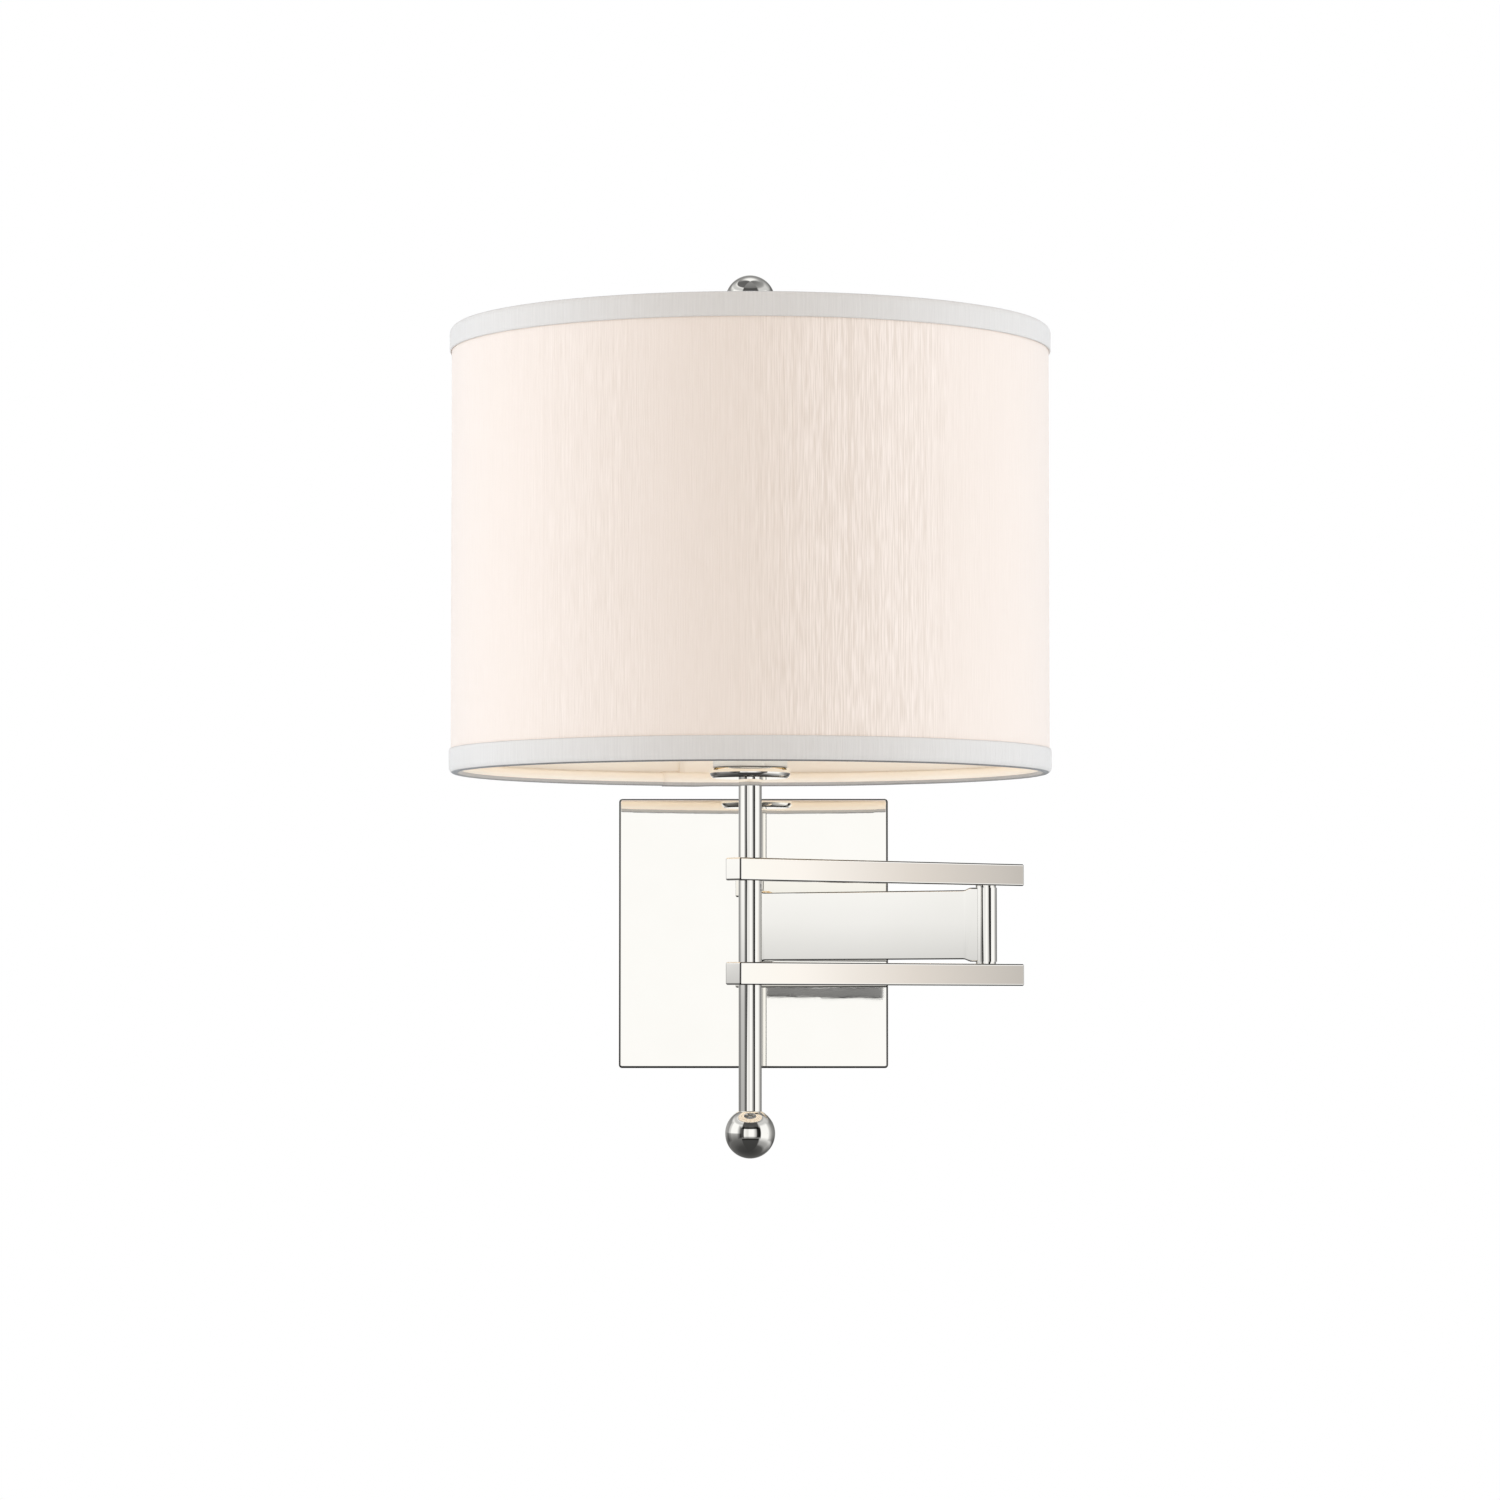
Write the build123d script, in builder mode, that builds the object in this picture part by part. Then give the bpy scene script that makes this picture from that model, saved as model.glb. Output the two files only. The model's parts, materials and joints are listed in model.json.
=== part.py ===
from build123d import *
import math
import os

os.makedirs("parts", exist_ok=True)

# Swing arm wall sconce, in millimetres.
# Frame: +Z up, +Y into the wall, the room on the -Y side, and the origin at
# the middle of the canopy's rim on the wall. Everything stands at rest: the
# rear arm swung out to the right, the front arm folded back to the middle.

# ---------------------------------------------------------------- sizes

# Clearances
running_clearance = 0.05
slip_clearance = 0.1
glue_gap = 0.05
thread_clearance = 0.05
hex_sides = 6

# Canopy on the wall
canopy_width = 134.0
canopy_depth = 20.0
canopy_wall = 1.2
canopy_edge_round = 1.2
canopy_corner_round = 1.6
set_screw_diameter = 4.0
set_screw_length = 5.0
set_screw_setback = 11.0
hex_socket_across = 2.0
hex_socket_depth = 1.8

# Slotted mounting strap
strap_wall = 1.6
strap_width = 22.0
strap_screw_spacing = 88.9
strap_slot_width = 4.6
strap_slot_length = 14.0
strap_tab_depth = 15.0
ground_screw_diameter = 4.0
ground_screw_head = 8.0
ground_screw_head_height = 2.4
ground_screw_offset = 26.0

# Rods, bars and pivots
rod_diameter = 10.8
rod_bore = 8.2
tube_diameter = 8.0
tube_bore = 5.5
tube_stand_out = 3.0
bar_size = 10.6
bar_edge_round = 0.9
barrel_diameter = 10.7
pin_diameter = 8.0
pin_bore = 4.2
washer_diameter = 9.8
washer_wall = 1.0
pivot_gap = 37.7
screw_diameter = 4.0
screw_head_diameter = 7.6
screw_head_height = 2.1
screw_length = 22.0
screw_drive_width = 1.0
screw_drive_depth = 0.9
wire_bore = 5.0

# Wall yoke
wall_pivot_standoff = 13.0
yoke_lug_height = 8.0
yoke_lug_width = 10.6
yoke_web_depth = 4.0
yoke_edge_round = 0.8
nipple_diameter = 9.6
nipple_bore = 6.0
nipple_length = 11.0
nut_across_flats = 14.0
nut_height = 4.0

# Arms, seen from above
arm_height = 3.0
rear_arm_length = 133.0
rear_arm_angle = 32.0
front_arm_length = 152.4
fold_angle = 105.7
rear_arm_depth = 33.4
barrel_stands_proud = 0.2
rear_arm_wall = 1.5
rear_arm_edge_round = 0.7
flare_length = 4.6
bar_overhang_lamp = 10.8
bar_overhang_elbow = 21.0

# Lamp head
upper_stem_length = 36.85
lower_stem_length = 58.25
ball_diameter = 23.3
ball_thread_depth = 9.0
ring_diameter = 37.5
ring_height = 5.1
locknut_across_flats = 13.0
locknut_height = 3.4
saddle_wall = 1.2
saddle_width = 11.0
saddle_span = 49.0
saddle_tab_width = 5.6
saddle_tab_height = 9.0
saddle_bend_round = 1.0
harp_height = 190.8
harp_width = 104.0
harp_wire = 3.6
harp_foot_height = 15.0
harp_waist_height = 44.0
harp_shoulder_drop = 44.0
harp_bend_radius = 13.0
harp_crown_reach = 22.0
harp_plate_width = 16.0
harp_plate_height = 4.0
harp_stud_diameter = 6.2
harp_stud_length = 11.0
ferrule_diameter = 8.6
ferrule_wall = 0.9
ferrule_height = 13.0
socket_cap_diameter = 30.0
socket_cap_height = 9.0
socket_sheet = 0.8
socket_cap_round = 2.4
insulator_height = 12.0
screw_shell_diameter = 28.0
screw_shell_sheet = 0.6
screw_shell_height = 26.0
contact_diameter = 7.0
contact_height = 2.0
sleeve_diameter = 35.5
sleeve_wall = 1.0
sleeve_height = 54.0
bulb_base_diameter = 26.0
bulb_base_height = 25.0
bulb_tip_diameter = 10.0
bulb_tip_height = 4.0
bulb_neck_diameter = 25.0
bulb_diameter = 60.0
bulb_height = 84.0
bulb_shoulder_angle = 40.0
bulb_wall = 1.0

# Drum shade
shade_radius = 138.9
shade_height = 207.2
fabric_wall = 0.6
liner_wall = 0.8
ring_wire = 2.6
trim_wall = 0.8
trim_height = 11.5
trim_fold = 6.0
spider_wire = 2.8
spider_arms = 3
spider_drop = 7.0
hub_diameter = 19.0
hub_wall = 1.6
finial_neck_height = 10.0
finial_neck_diameter = 8.6
finial_bore_depth = 12.0

# ------------------------------------------------------- derived places

pivot_gap_half = pivot_gap / 2
barrel_height = pivot_gap - 2 * washer_wall
pin_length = pivot_gap
bar_top = pivot_gap_half + bar_size

# Pivot axes, in the plan of the wall frame
wall_axis_y = -(canopy_depth + wall_pivot_standoff)
rear_heading = -rear_arm_angle
front_heading = rear_heading - fold_angle
rear_direction = Vector(1, 0, 0).rotate(Axis.Z, rear_heading)
front_direction = Vector(1, 0, 0).rotate(Axis.Z, front_heading)
wall_pivot = Vector(0, wall_axis_y, arm_height)
elbow = wall_pivot + rear_direction * rear_arm_length
lamp = elbow + front_direction * front_arm_length

# Heights on the lamp's axis
stem_seat_top = arm_height + bar_top
stem_seat_bottom = arm_height - bar_top
ring_bottom = stem_seat_top + upper_stem_length
ring_top = ring_bottom + ring_height
saddle_bottom = ring_top + locknut_height
saddle_top = saddle_bottom + saddle_wall
harp_top = saddle_top + harp_height
hub_top = harp_top + hub_wall
shade_top = hub_top + spider_drop
shade_bottom = shade_top - shade_height
ball_flat = math.sqrt((ball_diameter / 2) ** 2 - (rod_diameter / 2) ** 2)
ball_center = stem_seat_bottom - lower_stem_length - ball_flat
tube_bottom = ball_center + ball_flat - ball_thread_depth + slip_clearance
tube_top = saddle_top + socket_sheet + tube_stand_out


def level(spot, z, heading=0.0):
    """A horizontal plane over a plan position, its x axis turned to a heading."""
    facing = Vector(1, 0, 0).rotate(Axis.Z, heading)
    return Plane(origin=(spot.X, spot.Y, z), x_dir=facing, z_dir=(0, 0, 1))


def upright(spot, z, heading=0.0):
    """A vertical plane through a plan position: x along the heading, y up."""
    facing = Vector(1, 0, 0).rotate(Axis.Z, heading)
    normal = facing.cross(Vector(0, 0, 1))
    return Plane(origin=(spot.X, spot.Y, z), x_dir=facing, z_dir=normal)


def save(builder, label):
    """Label a finished piece and write it to its own file."""
    builder.part.label = label
    export_step(builder.part, f"parts/{label}.step")


wall_center = Vector(0, 0, 0)

# ------------------------------------------------------------ wall mount

canopy_inside = canopy_width - 2 * canopy_wall
canopy_front = -canopy_depth
set_screw_y = -set_screw_setback

# Backplate: a square pressed tray, open to the wall, its edges softly rounded.
with BuildPart() as backplate:
    with BuildSketch(Plane.XZ):
        RectangleRounded(canopy_width, canopy_width, canopy_corner_round)
    extrude(amount=canopy_depth)
    front_edges = backplate.faces().sort_by(Axis.Y)[0].edges()
    fillet(front_edges, canopy_edge_round)
    with BuildSketch(Plane.XZ):
        Rectangle(canopy_inside, canopy_inside)
    extrude(amount=canopy_depth - canopy_wall, mode=Mode.SUBTRACT)
    with BuildSketch(Plane.XZ.offset(canopy_depth)):
        with Locations((0, arm_height)):
            Circle(nipple_diameter / 2 + slip_clearance)
    extrude(amount=-2 * canopy_wall, mode=Mode.SUBTRACT)
    with BuildSketch(Plane.YZ):
        with Locations((set_screw_y, 0)):
            Circle(set_screw_diameter / 2 + thread_clearance)
    extrude(amount=canopy_width, both=True, mode=Mode.SUBTRACT)
save(backplate, "backplate")

# Mounting strap: bent from one steel strip, slotted for the box screws, its
# turned-out ends threaded for the canopy's set screws.
strap_half = canopy_inside / 2 - slip_clearance
with BuildPart() as mounting_strap:
    with BuildSketch(Plane.XY.offset(-strap_width / 2)):
        with BuildLine():
            Polyline(
                (-strap_half, -strap_tab_depth),
                (-strap_half, 0),
                (strap_half, 0),
                (strap_half, -strap_tab_depth),
                (strap_half - strap_wall, -strap_tab_depth),
                (strap_half - strap_wall, -strap_wall),
                (-strap_half + strap_wall, -strap_wall),
                (-strap_half + strap_wall, -strap_tab_depth),
                close=True,
            )
        make_face()
    extrude(amount=strap_width)
    bend_edges = mounting_strap.edges().filter_by(Axis.Z).filter_by(
        lambda edge: abs(edge.center().Y) < strap_wall / 2
    )
    fillet(bend_edges, strap_wall)
    with BuildSketch(Plane.XZ):
        with Locations((-strap_screw_spacing / 2, 0), (strap_screw_spacing / 2, 0)):
            SlotOverall(strap_slot_length, strap_slot_width)
        with Locations((ground_screw_offset, 0)):
            Circle(ground_screw_diameter / 2 + thread_clearance)
    extrude(amount=strap_wall, mode=Mode.SUBTRACT)
    with BuildSketch(Plane.YZ):
        with Locations((set_screw_y, 0)):
            Circle(set_screw_diameter / 2 + thread_clearance)
    extrude(amount=canopy_width, both=True, mode=Mode.SUBTRACT)
save(mounting_strap, "mounting_strap")

# Canopy set screws: grub screws with hexagon sockets, flush with the sides.
with BuildPart() as canopy_set_screws:
    for side in (-1, 1):
        end_x = side * canopy_width / 2
        outward = Plane(origin=(end_x, set_screw_y, 0), x_dir=(0, 1, 0), z_dir=(side, 0, 0))
        with BuildSketch(outward):
            Circle(set_screw_diameter / 2)
        extrude(amount=-set_screw_length)
        with BuildSketch(outward):
            RegularPolygon(hex_socket_across / 2, hex_sides, major_radius=False)
        extrude(amount=-hex_socket_depth, mode=Mode.SUBTRACT)
save(canopy_set_screws, "canopy_set_screws")

# Ground screw: pan head on the strap's room side.
with BuildPart() as ground_screw:
    with BuildSketch(Plane.XZ.offset(strap_wall)):
        with Locations((ground_screw_offset, 0)):
            Circle(ground_screw_head / 2)
    extrude(amount=ground_screw_head_height)
    head_rim = ground_screw.faces().sort_by(Axis.Y)[0].edges()
    fillet(head_rim, ground_screw_head_height / 3)
    with BuildSketch(Plane.XZ.offset(strap_wall)):
        with Locations((ground_screw_offset, 0)):
            Circle(ground_screw_diameter / 2)
    extrude(amount=-(strap_wall - slip_clearance))
    with BuildSketch(Plane.XZ.offset(strap_wall + ground_screw_head_height)):
        with Locations((ground_screw_offset, 0)):
            Rectangle(ground_screw_head, screw_drive_width)
    extrude(amount=-screw_drive_depth, mode=Mode.SUBTRACT)
save(ground_screw, "ground_screw")

# Wall yoke: a web against the canopy's face and two lugs with round noses.
yoke_height = pivot_gap + 2 * yoke_lug_height
lug_radius = yoke_lug_width / 2
with BuildPart() as wall_yoke:
    with BuildSketch(level(wall_center, arm_height - yoke_height / 2)):
        with Locations((0, wall_axis_y)):
            Circle(lug_radius)
        with Locations((0, (wall_axis_y + canopy_front) / 2)):
            Rectangle(yoke_lug_width, wall_pivot_standoff)
    extrude(amount=yoke_height)
    with BuildSketch(level(wall_center, arm_height - pivot_gap_half)):
        with Locations((0, canopy_front - yoke_web_depth - canopy_depth)):
            Rectangle(2 * yoke_lug_width, 2 * canopy_depth)
    extrude(amount=pivot_gap, mode=Mode.SUBTRACT)
    lug_ends = wall_yoke.faces().sort_by(Axis.Z)
    fillet(lug_ends[0].edges() + lug_ends[-1].edges(), yoke_edge_round)
    with BuildSketch(level(wall_pivot, arm_height - yoke_height)):
        Circle(screw_diameter / 2 + slip_clearance)
    extrude(amount=2 * yoke_height, mode=Mode.SUBTRACT)
    for side in (-1, 1):
        with BuildSketch(level(wall_pivot, arm_height + side * yoke_height / 2)):
            Circle(screw_head_diameter / 2 + slip_clearance)
        with BuildSketch(level(wall_pivot, arm_height + side * (yoke_height / 2 - screw_head_height))):
            Circle(screw_diameter / 2 + slip_clearance)
        loft(mode=Mode.SUBTRACT)
    with BuildSketch(Plane.XZ.offset(canopy_depth)):
        with Locations((0, arm_height)):
            Circle(nipple_diameter / 2 + thread_clearance)
    extrude(amount=yoke_web_depth / 2, mode=Mode.SUBTRACT)
    with BuildSketch(Plane.XZ.offset(canopy_depth)):
        with Locations((0, arm_height)):
            Circle(nipple_bore / 2)
    extrude(amount=yoke_web_depth, mode=Mode.SUBTRACT)
save(wall_yoke, "wall_yoke")

# Yoke nipple: threaded pipe that holds the yoke to the canopy.
nipple_front = canopy_depth + yoke_web_depth / 2 - slip_clearance
with BuildPart() as yoke_nipple:
    with BuildSketch(Plane.XZ.offset(nipple_front - nipple_length)):
        with Locations((0, arm_height)):
            Circle(nipple_diameter / 2)
            Circle(nipple_bore / 2, mode=Mode.SUBTRACT)
    extrude(amount=nipple_length)
save(yoke_nipple, "yoke_nipple")

# Yoke nut: hexagon nut against the inside of the canopy's face.
with BuildPart() as yoke_nut:
    with BuildSketch(Plane.XZ.offset(canopy_depth - canopy_wall - nut_height)):
        with Locations((0, arm_height)):
            RegularPolygon(nut_across_flats / 2, hex_sides, major_radius=False)
            Circle(nipple_diameter / 2 + thread_clearance, mode=Mode.SUBTRACT)
    extrude(amount=nut_height)
save(yoke_nut, "yoke_nut")


def pivot_pin(spot):
    """A hollow pin between the faces that hold it, tapped at both ends."""
    with BuildPart() as pin:
        with BuildSketch(level(spot, arm_height - pin_length / 2)):
            Circle(pin_diameter / 2)
            Circle(pin_bore / 2, mode=Mode.SUBTRACT)
        extrude(amount=pin_length)
    return pin


def pivot_washers(spot):
    """Two thin washers, one over and one under the barrel."""
    with BuildPart() as washers:
        for foot in (barrel_height / 2, -barrel_height / 2 - washer_wall):
            with BuildSketch(level(spot, arm_height + foot)):
                Circle(washer_diameter / 2)
                Circle(pin_diameter / 2 + slip_clearance, mode=Mode.SUBTRACT)
            extrude(amount=washer_wall)
    return washers


def pivot_screws(spot, outer_half, shank_length):
    """Two countersunk screws, flush with the outer faces, into the pin's ends."""
    with BuildPart() as screws:
        for side in (-1, 1):
            head_face = arm_height + side * outer_half
            with BuildSketch(level(spot, head_face)):
                Circle(screw_head_diameter / 2)
            with BuildSketch(level(spot, head_face - side * screw_head_height)):
                Circle(screw_diameter / 2)
            loft()
            with BuildSketch(level(spot, head_face - side * screw_head_height)):
                Circle(screw_diameter / 2)
            extrude(amount=-side * (shank_length - screw_head_height))
            with BuildSketch(level(spot, head_face)):
                Rectangle(screw_head_diameter, screw_drive_width)
            extrude(amount=-side * screw_drive_depth, mode=Mode.SUBTRACT)
    return screws


def pivot_barrel(spot):
    """A plain round barrel that turns on its pin."""
    with BuildPart() as barrel:
        with BuildSketch(level(spot, arm_height - barrel_height / 2)):
            Circle(barrel_diameter / 2)
            Circle(pin_diameter / 2 + running_clearance, mode=Mode.SUBTRACT)
        extrude(amount=barrel_height)
    return barrel


save(pivot_pin(wall_pivot), "wall_pivot_pin")
lug_screw_length = screw_length - bar_size + yoke_lug_height
save(pivot_screws(wall_pivot, yoke_height / 2, lug_screw_length), "wall_pivot_screws")
save(pivot_washers(wall_pivot), "wall_pivot_washers")

# -------------------------------------------------------------- rear arm

# Rear arm: a flat box section on edge. Its ends flare to the barrels' full
# height and are coped to wrap them.
rear_arm_thickness = barrel_diameter - 2 * barrel_stands_proud
cope_radius = barrel_diameter / 2 + glue_gap
cope_tip = math.sqrt(cope_radius**2 - (rear_arm_thickness / 2) ** 2)
flare_start = rear_arm_length / 2 - barrel_diameter / 2 - flare_length
flare_end = rear_arm_length / 2 - cope_tip / 2
edge_half = rear_arm_depth / 2
shoulder_half = barrel_height / 2
arm_middle = wall_pivot + rear_direction * (rear_arm_length / 2)
with BuildPart() as rear_arm_plate:
    with BuildSketch(upright(arm_middle, arm_height, rear_heading)):
        with BuildLine():
            for up in (1, -1):
                Line((-flare_start, up * edge_half), (flare_start, up * edge_half))
                for out in (1, -1):
                    shoulder = (out * (flare_start + flare_length), up * shoulder_half)
                    level_ends = ((out, 0), (out, 0))
                    Spline((out * flare_start, up * edge_half), shoulder, tangents=level_ends)
                    Line(shoulder, (out * flare_end, up * shoulder_half))
            for out in (1, -1):
                Line((out * flare_end, -shoulder_half), (out * flare_end, shoulder_half))
        make_face()
    extrude(amount=rear_arm_thickness / 2, both=True)
    wide_faces = rear_arm_plate.faces().sort_by(SortBy.AREA)[-2:]
    fillet(wide_faces.edges().filter_by(Axis.Z, reverse=True), rear_arm_edge_round)
    with BuildSketch(upright(arm_middle, arm_height, rear_heading)):
        Rectangle(rear_arm_length, rear_arm_depth - 2 * rear_arm_wall)
    extrude(amount=rear_arm_thickness / 2 - rear_arm_wall, both=True, mode=Mode.SUBTRACT)
    for end in (wall_pivot, elbow):
        with BuildSketch(level(end, arm_height - barrel_height)):
            Circle(cope_radius)
        extrude(amount=2 * barrel_height, mode=Mode.SUBTRACT)
save(rear_arm_plate, "rear_arm_plate")

save(pivot_barrel(wall_pivot), "wall_barrel")
save(pivot_barrel(elbow), "elbow_barrel")

# -------------------------------------------------------------- front arm

bar_length = front_arm_length + bar_overhang_lamp + bar_overhang_elbow
bar_middle = elbow + front_direction * (bar_length / 2 - bar_overhang_elbow)
stem_hole = tube_diameter / 2 + slip_clearance


def front_bar(side):
    """One of the twin square bars: side is 1 for the upper and -1 for the lower."""
    near_face = arm_height + side * pivot_gap_half
    far_face = arm_height + side * bar_top
    bar_center = (near_face + far_face) / 2
    with BuildPart() as bar:
        with BuildSketch(level(bar_middle, bar_center, front_heading)):
            Rectangle(bar_length, bar_size)
        extrude(amount=bar_size / 2, both=True)
        fillet(bar.edges(), bar_edge_round)
        with BuildSketch(level(lamp, bar_center)):
            Circle(stem_hole)
        extrude(amount=bar_size, both=True, mode=Mode.SUBTRACT)
        with BuildSketch(level(elbow, bar_center)):
            Circle(screw_diameter / 2 + slip_clearance)
        extrude(amount=bar_size, both=True, mode=Mode.SUBTRACT)
        with BuildSketch(level(elbow, far_face)):
            Circle(screw_head_diameter / 2 + slip_clearance)
        with BuildSketch(level(elbow, far_face - side * screw_head_height)):
            Circle(screw_diameter / 2 + slip_clearance)
        loft(mode=Mode.SUBTRACT)
        across = Plane(origin=(elbow.X, elbow.Y, bar_center), z_dir=front_direction)
        with BuildSketch(across):
            Circle(wire_bore / 2)
        extrude(amount=front_arm_length, mode=Mode.SUBTRACT)
    return bar


save(front_bar(1), "upper_front_bar")
save(front_bar(-1), "lower_front_bar")
save(pivot_pin(elbow), "elbow_pin")
save(pivot_screws(elbow, bar_top, screw_length), "elbow_screws")
save(pivot_washers(elbow), "elbow_washers")


def stem(bottom, height):
    """A length of polished tube on the lamp's axis."""
    with BuildPart() as tube:
        with BuildSketch(level(lamp, bottom)):
            Circle(rod_diameter / 2)
            Circle(rod_bore / 2, mode=Mode.SUBTRACT)
        extrude(amount=height)
    return tube


save(stem(stem_seat_top, upper_stem_length), "upper_stem")
save(stem(arm_height - pivot_gap_half, pivot_gap), "middle_stem")
save(stem(stem_seat_bottom - lower_stem_length, lower_stem_length), "lower_stem")

# Stem tube: threaded pipe that pulls the stems, bars and socket together.
with BuildPart() as stem_tube:
    with BuildSketch(level(lamp, tube_bottom)):
        Circle(tube_diameter / 2)
        Circle(tube_bore / 2, mode=Mode.SUBTRACT)
    extrude(amount=tube_top - tube_bottom)
save(stem_tube, "stem_tube")

# Bottom ball: turned ball with a flat seat and a blind thread for the tube.
with BuildPart() as bottom_ball:
    with BuildSketch(upright(lamp, ball_center)):
        with BuildLine():
            ball_arc = CenterArc((0, 0), ball_diameter / 2, -90, 180)
            Line(ball_arc @ 0, ball_arc @ 1)
        make_face()
        with Locations((0, ball_flat)):
            Rectangle(ball_diameter, ball_diameter, align=(Align.CENTER, Align.MIN), mode=Mode.SUBTRACT)
    revolve(axis=Axis((lamp.X, lamp.Y, 0), (0, 0, 1)))
    with BuildSketch(level(lamp, ball_center + ball_flat)):
        Circle(tube_diameter / 2 + thread_clearance)
    extrude(amount=-ball_thread_depth, mode=Mode.SUBTRACT)
save(bottom_ball, "bottom_ball")

# Check ring: thick disc with a fully rounded edge, on top of the upper stem.
ring_flat_end = (ring_diameter - ring_height) / 2
with BuildPart() as check_ring:
    with BuildSketch(upright(lamp, ring_bottom)):
        with Locations((stem_hole, 0)):
            Rectangle(ring_flat_end - stem_hole, ring_height, align=(Align.MIN, Align.MIN))
        with Locations((ring_flat_end, ring_height / 2)):
            Circle(ring_height / 2)
    revolve(axis=Axis((lamp.X, lamp.Y, 0), (0, 0, 1)))
save(check_ring, "check_ring")

# Socket locknut, between the check ring and the saddle.
with BuildPart() as socket_locknut:
    with BuildSketch(level(lamp, ring_top)):
        RegularPolygon(locknut_across_flats / 2, hex_sides, major_radius=False)
        Circle(tube_diameter / 2 + thread_clearance, mode=Mode.SUBTRACT)
    extrude(amount=locknut_height)
save(socket_locknut, "socket_locknut")

# Harp saddle: a bent strap whose upright ends carry the harp's feet.
saddle_half = saddle_span / 2
with BuildPart() as harp_saddle:
    with BuildSketch(upright(lamp, saddle_bottom)):
        with BuildLine():
            Polyline(
                (-saddle_half - saddle_wall / 2, saddle_tab_height),
                (-saddle_half - saddle_wall / 2, 0),
                (saddle_half + saddle_wall / 2, 0),
                (saddle_half + saddle_wall / 2, saddle_tab_height),
                (saddle_half - saddle_wall / 2, saddle_tab_height),
                (saddle_half - saddle_wall / 2, saddle_wall),
                (-saddle_half + saddle_wall / 2, saddle_wall),
                (-saddle_half + saddle_wall / 2, saddle_tab_height),
                close=True,
            )
        make_face()
    extrude(amount=saddle_tab_width / 2, both=True)
    foot_edges = harp_saddle.edges().filter_by(Axis.Y).group_by(Axis.Z)[0]
    fillet(foot_edges, saddle_bend_round)
    with BuildSketch(level(lamp, saddle_bottom)):
        Circle(saddle_width / 2 + saddle_wall)
    extrude(amount=saddle_wall)
    with BuildSketch(level(lamp, saddle_bottom)):
        Circle(stem_hole)
    extrude(amount=saddle_wall, mode=Mode.SUBTRACT)
save(harp_saddle, "harp_saddle")

# Harp ferrules: short sleeves that lock the harp's feet on the saddle.
ferrule_bottom = saddle_top + slip_clearance + saddle_bend_round
ferrule_spots = [lamp + Vector(side * saddle_half, 0, 0) for side in (-1, 1)]
with BuildPart() as harp_ferrules:
    for spot in ferrule_spots:
        with BuildSketch(level(spot, ferrule_bottom)):
            Circle(ferrule_diameter / 2)
            Circle(ferrule_diameter / 2 - ferrule_wall, mode=Mode.SUBTRACT)
        extrude(amount=ferrule_height)
save(harp_ferrules, "harp_ferrules")

# Harp: bowed wire from the saddle round the bulb to a plate with a stud.
harp_foot = saddle_bottom + saddle_tab_height + slip_clearance
harp_plate_bottom = harp_top - harp_plate_height
wire_end_height = harp_plate_bottom + harp_plate_height / 2 - harp_foot
with BuildPart() as harp:
    for side in (-1, 1):
        with BuildLine(upright(lamp, harp_foot)) as bow:
            FilletPolyline(
                (side * saddle_half, 0),
                (side * saddle_half, harp_foot_height),
                (side * harp_width / 2, harp_waist_height),
                (side * harp_width / 2, wire_end_height - harp_shoulder_drop),
                (side * harp_crown_reach, wire_end_height),
                (side * harp_plate_width / 4, wire_end_height),
                radius=harp_bend_radius,
            )
        with BuildSketch(Plane(origin=bow.line @ 0, z_dir=bow.line % 0)):
            Circle(harp_wire / 2)
        sweep(path=bow.line)
    with BuildSketch(level(lamp, harp_plate_bottom)):
        Circle(harp_plate_width / 2)
    extrude(amount=harp_plate_height)
    with BuildSketch(level(lamp, harp_top)):
        Circle(harp_stud_diameter / 2)
    extrude(amount=harp_stud_length)
save(harp, "harp")

# Socket cap: a shallow cup on the saddle.
cap_bottom = saddle_top
with BuildPart() as socket_cap:
    with BuildSketch(level(lamp, cap_bottom)):
        Circle(socket_cap_diameter / 2)
    extrude(amount=socket_cap_height)
    fillet(socket_cap.faces().sort_by(Axis.Z)[0].edges(), socket_cap_round)
    with BuildSketch(level(lamp, cap_bottom + socket_sheet)):
        Circle(socket_cap_diameter / 2 - socket_sheet)
    extrude(amount=socket_cap_height, mode=Mode.SUBTRACT)
    with BuildSketch(level(lamp, cap_bottom)):
        Circle(stem_hole)
    extrude(amount=socket_sheet, mode=Mode.SUBTRACT)
save(socket_cap, "socket_cap")

# Socket insulator: the solid body that fills the cap and carries the contacts.
insulator_bottom = tube_top + slip_clearance
insulator_top = insulator_bottom + insulator_height
insulator_radius = socket_cap_diameter / 2 - socket_sheet - slip_clearance
with BuildPart() as socket_insulator:
    with BuildSketch(level(lamp, insulator_bottom)):
        Circle(insulator_radius)
    extrude(amount=insulator_height)
    fillet(socket_insulator.faces().sort_by(Axis.Z)[0].edges(), socket_cap_round - socket_sheet)
save(socket_insulator, "socket_insulator")

# Socket screw shell: the thin threaded cup that takes the bulb's base.
with BuildPart() as socket_screw_shell:
    with BuildSketch(level(lamp, insulator_top)):
        Circle(screw_shell_diameter / 2)
        Circle(screw_shell_diameter / 2 - screw_shell_sheet, mode=Mode.SUBTRACT)
    extrude(amount=screw_shell_height)
save(socket_screw_shell, "socket_screw_shell")

# Center contact: a small brass button under the bulb's tip.
with BuildPart() as center_contact:
    with BuildSketch(level(lamp, insulator_top)):
        Circle(contact_diameter / 2)
    extrude(amount=contact_height)
    fillet(center_contact.faces().sort_by(Axis.Z)[-1].edges(), contact_height / 2)
save(center_contact, "center_contact")

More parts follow.
